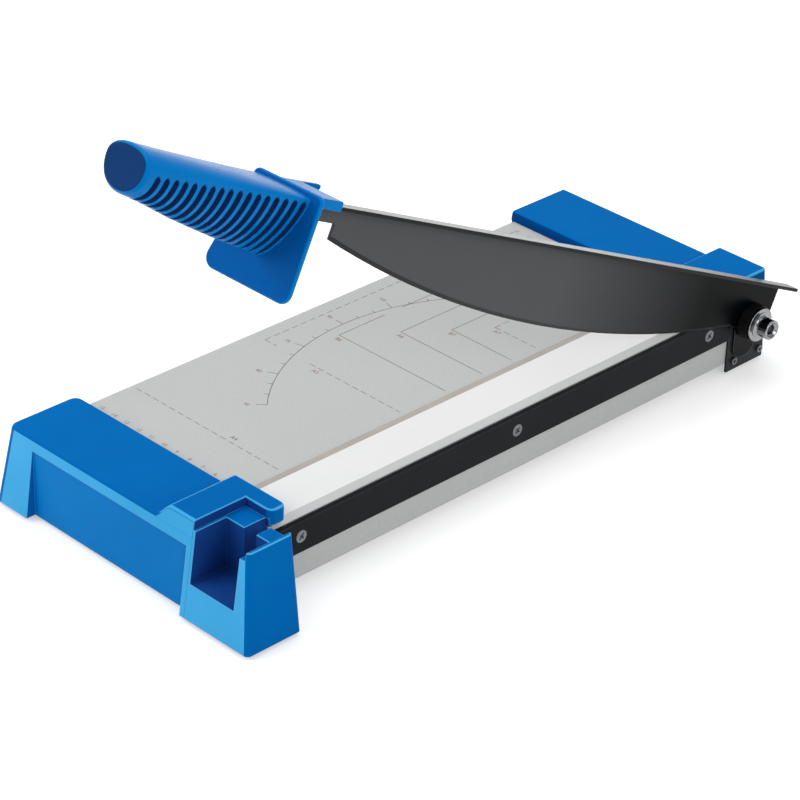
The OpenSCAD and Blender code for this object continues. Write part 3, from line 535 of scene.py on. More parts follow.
@dataclass(frozen=True)
class Finish:
    """One finish: a colour that drifts a little, a grain in its relief, and soft edges.

    Sizes are in millimetres.
    """

    name: str
    main: str
    drift: str
    patch: float = 30.0
    grain: float = 0.35
    relief: float = 0.006
    rough: Flat = (0.36, 0.44)
    metal: float = 0.0
    specular: float = 0.5
    tint: str = "#ffffff"
    edge: float = 0.35
    # Edge colour and its share at the sharpest edges: wear on the blade's coating, and a painted
    # highlight along the rims of the blue mouldings
    edge_wear_and_highlight: str = ""
    edge_wear_and_highlight_amount: float = 0.0

    def paint(self, sheet: Sheet) -> bpy.types.NodeSocket:
        """The surface's colour."""
        drift = sheet.spread(sheet.noise(self.patch, 3.0), 0.0, 1.0)
        return sheet.mix(drift, colour(self.main), colour(self.drift))

    def height(self, sheet: Sheet) -> bpy.types.NodeSocket:
        """The height of the surface's fine relief."""
        return sheet.noise(self.grain, 3.0)

    def make(self) -> Material:
        """Writes the finish as a material.

        Returns:
            The material.
        """
        material = bpy.data.materials.new(self.name)
        sheet = Sheet(material, "ShaderNodeOutputMaterial", "Object")
        soft = sheet.add("ShaderNodeBevel", {"samples": 6}, Radius=self.edge * MM).outputs[0]
        paint = self.paint(sheet)
        # Edges take the edge colour, which is wear on some finishes and a painted highlight on
        # others
        if self.edge_wear_and_highlight:
            flat = sheet.add("ShaderNodeNewGeometry").outputs["Normal"]
            wear_and_highlight = sheet.spread(sheet.dot(soft, flat), self.edge_wear_and_highlight_amount, 0.0, 0.75, 0.99)
            paint = sheet.mix(wear_and_highlight, paint, colour(self.edge_wear_and_highlight))
        rough = sheet.spread(sheet.noise(self.patch * 0.4, 4.0), *self.rough)
        bump = sheet.add("ShaderNodeBump", Height=self.height(sheet), Normal=soft,
                         Distance=self.relief * MM, Strength=1.0)
        shader = sheet.add("ShaderNodeBsdfPrincipled", Base_Color=paint, Roughness=rough,
                           Normal=bump.outputs[0], Metallic=self.metal,
                           Specular_IOR_Level=self.specular, Specular_Tint=colour(self.tint))
        sheet.feed(sheet.surface, shader.outputs[0])
        return material


@dataclass(frozen=True)
class Speckled(Finish):
    """Stove enamel with fine dark and light flecks."""

    fleck: float = 0.3
    dark: str = "#9c9f9e"
    light: str = "#dcdddc"

    def paint(self, sheet: Sheet) -> bpy.types.NodeSocket:
        """Colours the enamel with its flecks.

        Args:
            sheet: the material's node sheet.

        Returns:
            The output with the colour.
        """
        ground = super().paint(sheet)
        fine = sheet.noise(self.fleck, 1.0)
        coarse = sheet.noise(self.fleck * 2.0, 1.0)
        ground = sheet.mix(sheet.spread(fine, 0.0, 0.5, 0.5, 0.75), ground, colour(self.dark))
        return sheet.mix(sheet.spread(coarse, 0.0, 0.35, 0.5, 0.75), ground, colour(self.light))


@dataclass(frozen=True)
class PaintedReflection(Finish):
    """Black coating with a painted reflection: grey along the arm, fading to the pivot end's
    colour round the pivot.
    """

    pivot_end_colour: str = "#030507"
    reflection_fade: Flat = (50.0, 180.0)

    def paint(self, sheet: Sheet) -> bpy.types.NodeSocket:
        """Colours the coating, from the pivot end's colour to the painted reflection's grey.

        Args:
            sheet: the material's node sheet.

        Returns:
            The output with the colour.
        """
        along = DATUM.arm_way(1.0, 0.0)
        reach = sheet.dot(sheet.place, along[:])
        zero = DATUM.arm(0.0, 0.0, 0.0).dot(along)
        start, end = (zero + a * MM for a in self.reflection_fade)
        reflected = sheet.spread(reach, 0.0, 1.0, start, end)
        return sheet.mix(reflected, colour(self.pivot_end_colour), super().paint(sheet))


class Finishes(Enum):
    """Every finish on the cutter, with the colours that paint light and shade among them."""

    # Blue mouldings: their light edge colour is a painted highlight along the rims
    CAP_BLUE = Finish("cap_blue", "#006cb8", "#0066b2", 60.0, 0.5, 0.010, (0.38, 0.48),
                      specular=0.02, tint="#008cff", edge=0.9, edge_wear_and_highlight="#5cb2f0", edge_wear_and_highlight_amount=0.9)
    # Lit copy of the cap blue: painted light on the leaning front faces, and a painted highlight
    # on the raised rounded edges
    CAP_PAINTED_LIGHT = Finish("cap_painted_light_blue", "#4cb4ee", "#3eaae2", 60.0, 0.5, 0.010, (0.38, 0.48),
                       specular=0.08, tint="#008cff", edge=0.9, edge_wear_and_highlight="#90ccf4",
                       edge_wear_and_highlight_amount=0.8)
    CAP_PANEL = Finish("cap_panel_blue", "#0a80cc", "#0578c2", 60.0, 0.4, 0.016, (0.45, 0.55),
                       specular=0.06, tint="#008cff", edge_wear_and_highlight="#3f9ae0", edge_wear_and_highlight_amount=0.4)
    # Painted shade: darker blue on the walls of the pocket, slot and notch
    CAP_PAINTED_POCKET_SHADE = Finish("cap_pocket_painted_shade", "#1c4a94", "#173f84", 30.0, 0.4, 0.016, (0.5, 0.6),
                       specular=0.05, tint="#008cff", edge=0.9, edge_wear_and_highlight="#2f74c4",
                       edge_wear_and_highlight_amount=0.5)
    # Painted shade on the far cap's low front face
    CAP_SHADE = Finish("cap_front_painted_shade", "#004488", "#003f80", 30.0, 0.5, 0.010, (0.45, 0.55),
                       specular=0.05, tint="#008cff")
    GRIP_BLUE = Finish("grip_blue", "#007ac8", "#0074c0", 40.0, 0.45, 0.003, (0.22, 0.28),
                       specular=0.11, tint="#60c4ff", edge_wear_and_highlight="#5fb0ea", edge_wear_and_highlight_amount=0.3)
    # Shaded copy of the grip blue: painted shade on the guard's broad faces
    GUARD_PAINTED_SHADE = Finish("guard_painted_shade", "#005fae", "#0058a5", 40.0, 0.45, 0.003, (0.3, 0.36),
                        specular=0.14, tint="#6fb4ff", edge=0.7, edge_wear_and_highlight="#4aa4e6",
                        edge_wear_and_highlight_amount=0.7)
    # Painted shade: navy on the butt, and on the rounding that faces away from the light
    GRIP_PAINTED_SHADE = Finish("grip_butt_painted_shade", "#12386c", "#143c72", 20.0, 0.45, 0.008, (0.42, 0.5),
                       specular=0.08, tint="#6fb4ff")
    # Painted shade inside the grooves
    GROOVE_PAINTED_SHADE = Finish("groove_painted_shade", "#1a3c7c", "#153471", 20.0, 0.45, 0.006, (0.42, 0.5),
                    specular=0.08, tint="#6fb4ff")
    TABLE = Speckled("table_enamel", "#c3c5c4", "#bfc1c0", 120.0, 0.4, 0.006, (0.45, 0.52),
                     specular=0.3)
    RAIL = Finish("rail_enamel", "#b0b2b2", "#a8aaaa", 30.0, 0.5, 0.015, (0.45, 0.55))
    BACKING = Finish("dark_bar", "#3c3d3f", "#333436", 25.0, 0.4, 0.01, (0.4, 0.55))
    KNIFE = Finish("knife_coating", "#0e1114", "#12171a", 40.0, 0.4, 0.006, (0.34, 0.42),
                   specular=0.07, edge_wear_and_highlight="#6c7070", edge_wear_and_highlight_amount=0.8)
    # Painted reflection: the grey of the blade's face and the light grey of the flange's top stand
    # for the floor seen in glossy black, darker near the pivot
    BLADE = PaintedReflection("blade_painted_reflection", "#545557", "#565759", 200.0, 0.6, 0.0006, (0.29, 0.31),
                   specular=0.05, edge_wear_and_highlight="#8c8f90", edge_wear_and_highlight_amount=0.25)
    FLANGE = PaintedReflection("flange_painted_reflection", "#9c9ea0", "#a2a4a6", 120.0, 0.6, 0.0006, (0.28, 0.32),
                    specular=0.3, pivot_end_colour="#505254")
    EDGE = Finish("blade_edge_black", "#121314", "#161718", 60.0, 0.6, 0.0006, (0.3, 0.36),
                  specular=0.12)
    STRIP_BEVEL = Finish("strip_bevel", "#d0d2d1", "#cbcdcc", 60.0, 0.8, 0.002, (0.2, 0.28),
                         specular=0.3)
    STRIP = Finish("strip_white", "#f0f0ef", "#ecedec", 60.0, 0.8, 0.002, (0.14, 0.2),
                   specular=0.4)
    LIP = Finish("strip_lip", "#b9b2ad", "#aea6a1", 25.0, 0.8, 0.004, (0.15, 0.25),
                 edge_wear_and_highlight="#8d7a70", edge_wear_and_highlight_amount=0.6)
    BRACKET = Finish("bracket_coating", "#2b2d2f", "#313335", 15.0, 0.4, 0.006, (0.34, 0.42),
                     specular=0.1, edge=0.4, edge_wear_and_highlight="#6d7173", edge_wear_and_highlight_amount=0.7)
    PLATE = Finish("bearing_coating", "#08090a", "#0c0d0e", 15.0, 0.4, 0.006, (0.34, 0.42),
                   specular=0.08, edge=0.5, edge_wear_and_highlight="#8d9193", edge_wear_and_highlight_amount=0.9)
    DISC = Finish("oiled_steel", "#0a0a0b", "#101012", 6.0, 0.3, 0.004, (0.28, 0.38),
                  specular=0.08)
    CHROME = Finish("polished_chrome", "#9a9c9e", "#8e9093", 6.0, 0.2, 0.0004, (0.1, 0.14),
                    metal=1.0, edge=0.15)
    ZINC = Finish("zinc_plate", "#a9abad", "#999ca0", 3.0, 0.2, 0.003, (0.25, 0.36),
                  metal=1.0, edge=0.15)
    DULL = Finish("dull_screw", "#7b7e80", "#6c6f72", 3.0, 0.2, 0.003, (0.34, 0.44),
                  metal=1.0, edge=0.15)
    PIN = Finish("ground_steel", "#b9babc", "#a9abae", 4.0, 0.2, 0.004, (0.2, 0.35),
                 metal=1.0, edge=0.1)
    BRONZE = Finish("sintered_bronze", "#a5834b", "#94733e", 3.0, 0.25, 0.02, (0.35, 0.5),
                    metal=1.0, edge=0.1)
    RUBBER = Finish("foot_rubber", "#6c6e6f", "#5f6162", 8.0, 0.4, 0.02, (0.6, 0.75),
                    specular=0.3)
    INK = Finish("line_ink", "#7a6f69", "#84786f", 2.0, 0.3, 0.002, (0.5, 0.6), specular=0.2,
                 edge=0.02)
    DIGIT = Finish("digit_ink", "#93665a", "#8a6a60", 2.0, 0.3, 0.002, (0.5, 0.6), specular=0.2,
                   edge=0.02)

    def material(self) -> Material:
        """The finish as a material, made once."""
        return bpy.data.materials.get(self.value.name) or self.value.make()


# Pieces of the base


@dataclass(frozen=True)
class Cap:
    """Sizes and steps that both end mouldings share."""

    foot: float = -40.0
    rise: float = 5.6
    block_rise: float = 14.4
    wall: float = 2.6
    under: float = 1.0
    boss_xs: tuple[float, ...] = (-129.0, -94.0, -59.0)
    boss_r: float = 3.5
    table_top: float = 0.1
    tongue_x: Flat = (-154.3, -5.7)
    tongue_low: float = -1.3
    tongue_in: float = 10.5
    ear_x: Flat = (-33.4, 2.0)
    ear_high: float = 5.5
    ear_in: float = 9.3
    spring_x: float = -17.15
    spring_r: float = 4.0
    spring_low: float = 4.5

    @property
    def roof(self) -> float:
        """Inside of the low top."""
        return self.rise - self.wall

    @property
    def block_roof(self) -> float:
        """Inside of the raised block's top."""
        return self.block_rise - self.wall

    def bosses(self, y: float) -> list[Step]:
        """Bosses for the screws that come up through the table's tongue."""
        return [(Op.JOIN, post(x, y, self.boss_r, self.table_top, self.roof + 1, 32))
                for x in self.boss_xs]

    def rooms(self, tongue_y: Flat, ear_y: Flat, spring_y: float) -> list[Step]:
        """Makes room for the table's tongue, the strip's ear and the spring over it.

        Args:
            tongue_y: both ends of the tongue's room.
            ear_y: both ends of the ear's room.
            spring_y: the spring's middle.

        Returns:
            The steps that cut the three rooms.
        """
        (tongue0, tongue1), (ear0, ear1) = self.tongue_x, self.ear_x
        return [(Op.CUT, box((tongue0, tongue_y[0], self.tongue_low),
                             (tongue1, tongue_y[1], self.table_top))),
                (Op.CUT, box((ear0, ear_y[0], self.table_top), (ear1, ear_y[1], self.ear_high))),
                (Op.CUT, post(self.spring_x, spring_y, self.spring_r, self.spring_low,
                              self.block_roof, 32))]


@dataclass(frozen=True)
class FarCap(Cap):
    """Moulding at the far end: a low top and a raised block over the strip's ear.

    The core is solid round the ear and its spring. Each foot room is the left end, the back
    and the top of what is cut from the foot beside the table.
    """

    left: float = -160.6
    right: float = -2.6
    front: float = -2.6
    back: float = 43.5
    block_left: float = -37.8
    block_back: float = 42.3
    lean: float = 0.1
    foot_y: float = 26.97
    foot_xs: Flat = (-147.0, -20.6)
    foot_r: float = 8.0
    boss_y: float = 5.8
    spring_y: float = 4.3
    nut_r: float = 9.75
    nut_x: Flat = (-17.5, 1.0)
    bracket_ys: Flat = (15.0, 37.25)
    bracket_z: float = -34.2
    bracket_r: float = 3.7
    bracket_x: Flat = (-10.6, -1.0)
    core_y: Flat = (1.6, 14.6)
    core_low: float = -3.7
    room_front: float = 12.0
    tab_room: tuple[Point, Point] = ((-8.2, -1.0, -29.0), (1.0, 0.4, -0.1))
    foot_rooms: tuple[Point, ...] = ((-140.0, 10.5, -32.0), (-12.0, 16.0, -36.4))

    def shape(self) -> Object:
        """Builds the moulding, with its hollow, posts and bosses.

        Returns:
            The moulding as one solid.
        """
        low = Block((self.left, self.right), (self.front, self.back), (self.foot, self.rise),
                    (self.lean, 0, 0, self.lean), (1.0, 1.2, 3.0, 0.8), 3.0)
        high = Block((self.block_left, self.right - 0.05), (self.front + 0.05, self.block_back),
                     (0.5, self.block_rise), (0, 0, 0, self.lean), (1.2, 1.5, 1.5, 0.9), 2.0)
        low_end, inner = self.foot - self.under, self.back - self.wall
        hollow = Block((self.left + self.wall, self.right - self.wall), (self.wall, inner),
                       (low_end, self.roof), (self.lean, 0, 0, self.lean), (1, 1, 1, 1), 2.0)
        steps = [(Op.JOIN, high.solid()), (Op.CUT, hollow.solid()),
                 (Op.CUT, box((self.block_left + self.wall, self.room_front, -1.0),
                              (self.right - self.wall, inner, self.block_roof)))]
        for x, top in zip(self.foot_xs, (self.roof + 1, self.block_roof + 1)):
            steps.append((Op.JOIN, post(x, self.foot_y, self.foot_r, self.foot, top)))
        steps += [
            *self.bosses(self.boss_y),
            # Solid round the strip's ear and its spring
            (Op.JOIN, box((self.block_left + 1, self.core_y[0], self.core_low),
                          (self.right - 0.1, self.core_y[1], self.block_roof + 1))),
            # Clear of the table under the lip
            (Op.CUT, box((self.left - 20, self.front - 9, low_end), (40.0, 0.0, self.table_top))),
            *self.rooms((-1.0, self.tongue_in), (self.front - 1, self.ear_in), self.spring_y),
            # Pivot nut, the table's tab behind the bracket, and the foot under the table
            (Op.CUT, bar(*DATUM.PIVOT, self.nut_r, *self.nut_x)),
            (Op.CUT, box(*self.tab_room)),
            *[(Op.CUT, box((x, -1.0, low_end), (4.0, y, z))) for x, y, z in self.foot_rooms],
        ]
        for y in self.bracket_ys:
            steps.append((Op.JOIN, bar(y, self.bracket_z, self.bracket_r, *self.bracket_x, 32)))
        return work(low.solid(), steps)

    def build(self) -> None:
        """Builds and dresses the cap."""
        finishes = [Finishes.CAP_BLUE, Finishes.CAP_PAINTED_LIGHT, Finishes.CAP_SHADE]
        piece = mount(self.shape(), "far_cap", "base", finishes, ["far_end_cap"])
        # Painted highlight on the raised block's rounded edges
        dress(piece, 1, lambda face: painted_highlight_rounding(face, self.rise + 2.0))
        # Painted shade on the far cap's low front face
        dress(piece, 2, lambda face: face.normal.y < -0.5
              and DATUM.place(face.center).z < self.rise)


@dataclass(frozen=True)
class NearCap(Cap):
    """Moulding at the operator's end, with the pocket that takes the blade's end.

    Each post over a foot is its place and its radius.
    """

    left: float = -161.8
    back: float = -332.0
    front: float = -377.0
    tower_left: float = -19.9
    tower_right: float = 22.5
    tower_back: float = -347.0
    tower_rise: float = 13.5
    ledge: float = 9.0
    pocket: Flat = (-15.5, 16.5)
    pocket_floor: float = -20.0
    pocket_back: float = -356.5
    notch_left: float = -17.0
    lip: float = 2.1
    bridge_left: float = -27.0
    bridge_front: float = -342.5
    bridge_right: float = 1.5
    slot: Flat = (-2.5, 6.5)
    lean: float = 0.132
    ramp: Flat = (-46.5, -34.5)
    front_r: float = 1.7
    panel: Flat = (-141.3, -20.9)
    panel_top: float = -1.3
    panel_back: float = 0.2
    boss_y: float = -337.8
    spring_y: float = -336.3
    notch_r: float = 0.7
    pocket_r: float = 0.5
    slot_r: float = 0.4
    posts: tuple[Point, ...] = ((-147.0, -359.9, 8.0), (14.5, -367.9, 7.5))

    def front_at(self, z: float) -> float:
        """Place of the front wall at a height."""
        return self.front + self.lean * (z - self.rise)

    def on_panel(self, place: Vector) -> bool:
        """Whether a place in the frame lies on the panel between the front feet."""
        x, y, _ = DATUM.place(place)
        return self.panel[0] < x < self.panel[1] and abs(y - self.front + self.panel_back) < 0.1

    def in_pocket(self, place: Vector) -> bool:
        """Tells whether a place lies on a wall of the pocket, slot or notch.

        Args:
            place: the place in the frame.

        Returns:
            True where it does.
        """
        x, y, z = DATUM.place(place)
        deep = self.pocket[0] - 0.1 < x < self.pocket[1] - 3 and z < self.ledge - 0.6
        notch = self.notch_left - 0.1 < x < -0.1 and z < self.block_rise - 0.8 and z > self.ledge
        return y < self.bridge_front + 0.1 and (deep or notch)

    def raised_arm(self) -> Object:
        """Builds the raised block that runs to the front, sloped on the left.

        Returns:
            The block as a solid.
        """
        foot, right, r_back = self.rise - 4.0, -12.0, 1.2
        start, end = self.ramp
        tops: list[Flat] = [(start - 2.0, self.rise - 0.06)]
        for k in range(13):
            s = k / 12
            climb = s * s * (3 - 2 * s)
            tops.append((start + (end - start) * s,
                         self.rise + (self.block_rise - self.rise) * climb))
        tops.append((right, self.block_rise))

        def ring(drop: float, y_of: Callable[[float], float]) -> list[Point]:
            """One section, with its top lowered by drop."""
            low = [(right, foot), (start - 2.0, foot)]
            return [(x, y_of(z), z) for x, z in [*low, *((x, z - drop) for x, z in tops)]]

        rings = []
        slope, steps, r = math.sqrt(1 + self.lean ** 2), 8, self.front_r
        first = math.atan(self.lean)
        for k in range(steps + 1):
            turn = first + (math.pi / 2 - first) * k / steps
            reach = r * (slope - math.cos(turn) - self.lean * math.sin(turn)) + 0.02
            rings.append(ring(r * (1 - math.sin(turn)),
                              lambda z, reach=reach: self.front_at(z) + reach))
        for k in range(steps, -1, -1):
            turn = math.pi / 2 * k / steps
            reach = r_back * (1 - math.cos(turn)) + 0.03
            rings.append(ring(r_back * (1 - math.sin(turn)),
                              lambda z, reach=reach: self.back - reach))
        return skin(rings)

    def shape(self) -> Object:
        """Builds the moulding, with its pocket, slot, hollows and posts.

        Returns:
            The moulding as one solid.
        """
        low = Block((self.left, -11.9), (self.front, self.back), (self.foot, self.rise),
                    (self.lean, 0, self.lean, 0), (1.8, 0.5, self.front_r, 0.8), 5.0)
        tower = Block((self.tower_left, self.tower_right),
                      (self.front_at(self.tower_rise) - 0.05, self.tower_back),
                      (self.foot, self.tower_rise), (0, self.lean, self.lean, 0),
                      (0.5, 0.9, 0.9, 0.9), 2.6)
        bridge = Block((self.bridge_left, self.bridge_right), (self.bridge_front, self.back),
                       (0.6, self.block_rise), (0, 0, 0, 0), (0.6, 1.4, 0.9, 1.2), 3.4)
        low_end, far = self.foot - self.under, self.front - 60
        hollow = Block((self.left + self.wall, self.tower_left - 1),
                       (self.front + self.wall + 1, self.back - self.wall),
                       (low_end, self.roof), (self.lean, 0, 0, 0), (1, 1, 1, 1), 2.0)
        (pocket0, pocket1), (slot0, slot1) = self.pocket, self.slot
        lip_x = self.tower_right - self.lip
        # Solids, then the hollows under them, then the posts for the feet
        steps = [
            (Op.JOIN, tower.solid()), (Op.JOIN, self.raised_arm()), (Op.JOIN, bridge.solid()),
            (Op.JOIN, box((self.tower_left + 1, self.pocket_back - 1, self.foot),
                          (0.0, self.bridge_front + 1, self.ledge))),
            (Op.JOIN, box((self.tower_left + 0.1, self.tower_back - 4, self.foot + 0.1),
                          (-2.5, self.back - self.wall, 1.0))),
            (Op.CUT, hollow.solid()),
            (Op.CUT, box((self.ear_x[0], self.front + 5.6, 1.5),
                         (-19.6, self.bridge_front - 2, self.block_roof))),
            (Op.CUT, box((self.tower_left + self.wall, self.front + self.wall, low_end),
                         (self.tower_right - 1, self.back - 5.2, self.pocket_floor - self.wall))),
            *[(Op.JOIN, post(*place, self.foot, top))
              for place, top in zip(self.posts, (self.roof + 1, self.pocket_floor - 1))],
            *self.bosses(self.boss_y),
            # Panel between the two front feet
            (Op.CUT, box((self.panel[0], far, low_end),
                         (self.panel[1], self.front - self.panel_back, self.panel_top))),
            # Notch above the ledges, the pocket, and the slot for the blade's end
            (Op.CUT, box((self.notch_left, far, self.ledge),
                         (lip_x, self.bridge_front, self.block_rise + 1))),
            (Op.CUT, box((pocket0, far, self.pocket_floor),
                         (pocket1, self.pocket_back, self.ledge + 1))),
            (Op.CUT, box((slot0, self.pocket_back - 1, self.pocket_floor),
                         (slot1, self.bridge_front, self.ledge + 1))),
            (Op.CUT, box((slot0, self.bridge_front - 0.5, low_end), (slot1, self.back + 1, 4.5))),
            *self.rooms((self.back - self.tongue_in, self.back + 1),
                        (self.back - self.ear_in, self.back + 1), self.spring_y),
        ]
        # Rounded rims of the notch, the pocket, the slot and the outer wall
        notch_r, pocket_r = self.notch_r, self.pocket_r
        rims = [
            (Axis.Y, (self.notch_left, self.block_rise), (-1, -1), notch_r,
             far, self.bridge_front + notch_r),
            (Axis.X, (self.bridge_front, self.block_rise), (1, -1), notch_r,
             self.notch_left - notch_r, self.bridge_right + 1),
            (Axis.Y, (pocket0, self.ledge), (-1, -1), pocket_r, far, self.pocket_back),
            (Axis.Y, (pocket1, self.ledge), (1, -1), pocket_r, far, self.pocket_back),
            (Axis.X, (self.pocket_back, self.ledge), (1, -1), pocket_r, pocket0, pocket1),
            (Axis.Y, (slot0, self.ledge), (-1, -1), self.slot_r, self.pocket_back - 0.5,
             self.bridge_front),
            (Axis.Y, (lip_x, self.tower_rise), (1, -1), pocket_r, far, self.tower_back + 1),
        ]
        steps += [(Op.CUT, edge_tool(*rim)) for rim in rims]
        return work(low.solid(), steps)

    def build(self) -> None:
        """Builds and dresses the cap."""
        finishes = [Finishes.CAP_BLUE, Finishes.CAP_PAINTED_LIGHT, Finishes.CAP_PANEL,
                    Finishes.CAP_PAINTED_POCKET_SHADE]
        piece = mount(self.shape(), "near_cap", "base", finishes, ["near_end_cap"])
        # Painted shade in the pocket, slot and notch
        dress(piece, 3, lambda face: self.in_pocket(face.center))
        dress(piece, 2, lambda face: face.normal.y < -0.999 and self.on_panel(face.center))
        # Painted light: the leaning front faces and the raised rounded edges take the lit copy of
        # the blue
        dress(piece, 1, lambda face: (face.normal.y < -0.98 and face.normal.z > 0.1)
              or painted_highlight_rounding(face, self.rise + 2.0))


@dataclass(frozen=True)
class Strip:
    """Pressing strip beside the cutting edge, with the thin lip that paper slides under."""

    front: float = -1.3
    back: float = -33.0
    lip: float = 5.0
    lip_t: float = 0.8
    thick: float = 3.0
    bevel: float = 3.4
    rest: float = 0.2
    ends: Flat = (-331.7, -2.9)
    ears: Flat = (-340.5, 8.5)

    def outline(self) -> list[Flat]:
        """Draws the section of the strip without its lip.

        Returns:
            The section's points as x and z.
        """
        z0, z1 = self.rest, self.rest + self.thick
        front, back = self.front, self.back
        return [(back + 0.2, z0), (front, z0), (front, z0 + 0.4), (front - 0.15, z0 + 0.6),
                (front - self.bevel + 0.25, z1 - 0.2), (front - self.bevel - 0.1, z1 - 0.04),
                (front - self.bevel - 0.5, z1), (back + self.bevel * 0.7, z1),
                (back + self.bevel * 0.7 - 0.5, z1 - 0.15), (back, z0 + self.lip_t + 0.15)]

    def build(self) -> None:
        """Builds and dresses the strip and its lip."""
        body = prism(Axis.Y, self.outline(), *self.ears)
        piece = mount(body, "strip_body", "strip", [Finishes.STRIP, Finishes.STRIP_BEVEL],
                      ["pressing_strip"], 20.0)
        dress(piece, 1, lambda face: face.normal.x > 0.3)
        z0, z1, tip = self.rest, self.rest + self.lip_t, self.back - self.lip
        edge = [(tip, z0), (self.back + 0.4, z0), (self.back + 0.4, z1), (tip + 0.3, z1),
                (tip, z1 - 0.3)]
        mount(prism(Axis.Y, edge, *self.ends), "strip_lip", "strip",
              [Finishes.LIP], ["pressing_strip"])


@dataclass(frozen=True)
class Print:
    """Format corners, ruler numbers and the arc of angles printed on the table.

    Each ruler is the place of its first number, the step to the next, its distance from the
    stop and the size of its numbers. Each label is its text and its middle.
    """

    width: float = 0.45
    lift: float = 0.03
    edge: float = -42.4
    stop: float = -12.0
    dashes: Flat = (4.35, 2.33)
    arc_mid: Flat = (-3.1, -165.5)
    arc_r: float = 129.6
    arc_turn: Flat = (-135.0, 111)
    ticks: Flat = (6.0, 2.6)
    tick_step: int = 5
    tick_count: int = 23
    angle_first: int = 45
    angle_step: int = 15
    angle_count: int = 8
    angle_out: float = 10.9
    angle_size: float = 3.6
    rulers: Sequence[tuple[float, float, float, float]] = (
        (-150.0, 10.0, -324.3, 3.6), (-147.6, 9.9, -10.5, 3.4))
    ruler_first: int = 15
    ruler_count: int = 10
    label_size: float = 4.0
    labels: Sequence[tuple[str, float, float]] = (
        ("A4", -80.7, -293.3), ("A5", -103.8, -213.9), ("B6", -121.6, -179.6),
        ("A6", -101.8, -151.5), ("B7", -84.5, -128.5), ("A7", -69.4, -108.4))

    def stroke(self, bm: bmesh.types.BMesh, p: Flat, q: Flat) -> None:
        """Draws one straight line.

        Args:
            bm: the mesh it goes into.
            p: start of the line.
            q: end of the line.
        """
        along = (Vector(q) - Vector(p)).normalized()
        side = Vector((-along.y, along.x)) * self.width / 2
        corners = [Vector(p) + side, Vector(p) - side, Vector(q) - side, Vector(q) + side]
        bm.faces.new([bm.verts.new(DATUM.base(c.x, c.y, self.lift)) for c in corners])

    def dashed(self, bm: bmesh.types.BMesh, p: Flat, q: Flat) -> None:
        """Draws one dashed line.

        Args:
            bm: the mesh it goes into.
            p: start of the line.
            q: end of the line.
        """
        start, end = Vector(p), Vector(q)
        span, at = (end - start).length, 0.0
        along = (end - start).normalized()
        while at < span:
            stop = min(at + self.dashes[0], span)
            self.stroke(bm, (start + along * at)[:], (start + along * stop)[:])
            at += sum(self.dashes)

    def polar(self, angle: float, r: float) -> Flat:
        """Place on the arc of angles."""
        turn = math.radians(angle)
        return (self.arc_mid[0] + r * math.cos(turn), self.arc_mid[1] + r * math.sin(turn))

    def lines(self) -> Object:
        """Draws all the printed lines.

        Returns:
            One object with them all.
        """
        bm = bmesh.new()
        # A4, and A5 with a gap where the arc of angles crosses it
        self.dashed(bm, (-153.7, -297.3), (self.edge, -297.3))
        self.dashed(bm, (-148.0, -210.0), (-138.5, -210.0))
        self.dashed(bm, (-112.3, -210.0), (self.edge, -210.0))
        self.dashed(bm, (-148.0, -210.0), (-148.0, self.stop))
        # B6 with a gap in its side, A6 and B7
        for x, y, top in ((-125, -176, -140.6), (-105, -148, self.stop), (-88, -125, self.stop)):
            self.stroke(bm, (x, y), (self.edge, y))
            self.stroke(bm, (x, y), (x, top))
        self.stroke(bm, (-125, -127), (-125, self.stop))
        # A7
        self.dashed(bm, (-74.0, -105.0), (self.edge, -105.0))
        self.dashed(bm, (-74.0, -105.0), (-74.0, self.stop))
        # The arc of angles, with a longer tick at each number
        first, count = self.arc_turn
        turns = [first - k for k in range(int(count))]
        for a0, a1 in zip(turns, turns[1:]):
            self.stroke(bm, self.polar(a0, self.arc_r), self.polar(a1, self.arc_r))
        for k in range(self.tick_count):
            angle = first - self.tick_step * k
            reach = self.ticks[1 if k % 3 else 0]
            self.stroke(bm, self.polar(angle, self.arc_r), self.polar(angle, self.arc_r + reach))
        return new_object("blank", bm)

    def words(self) -> Object:
        """Sets all the printed numbers and format names.

        Returns:
            One object with them all.
        """
        bm = bmesh.new()
        for k in range(self.ruler_count):
            for first, step, y, size in self.rulers:
                self.word(bm, str(self.ruler_first - k), first + step * k, y, size)
        for text, x, y in self.labels:
            self.word(bm, text, x, y, self.label_size)
        for k in range(self.angle_count):
            turn = self.angle_step * k
            x, y = self.polar(self.arc_turn[0] - turn, self.arc_r + self.angle_out)
            self.word(bm, str(self.angle_first + turn), x, y, self.angle_size)
        return new_object("blank", bm)

    def word(self, bm: bmesh.types.BMesh, text: str, x: float, y: float, size: float) -> None:
        """Adds one word.

        Args:
            bm: the mesh it goes into.
            text: the word.
            x: its middle.
            y: its middle.
            size: height of the letters' box in millimetres.
        """
        curve = bpy.data.curves.new("word", "FONT")
        curve.body, curve.size = text, size * MM
        curve.align_x, curve.align_y = "CENTER", "CENTER"
        obj = bpy.data.objects.new("word", curve)
        bpy.context.scene.collection.objects.link(obj)
        graph = bpy.context.evaluated_depsgraph_get()
        mesh = bpy.data.meshes.new_from_object(obj.evaluated_get(graph))
        mesh.transform(Matrix.Translation(DATUM.base(x, y, self.lift)))
        bm.from_mesh(mesh)
        bpy.data.objects.remove(obj)
        bpy.data.meshes.remove(mesh)

    def build(self) -> None:
        """Prints the table."""
        mount(self.lines(), "printed_lines", "base", [Finishes.INK])
        mount(self.words(), "printed_numbers", "base", [Finishes.DIGIT])


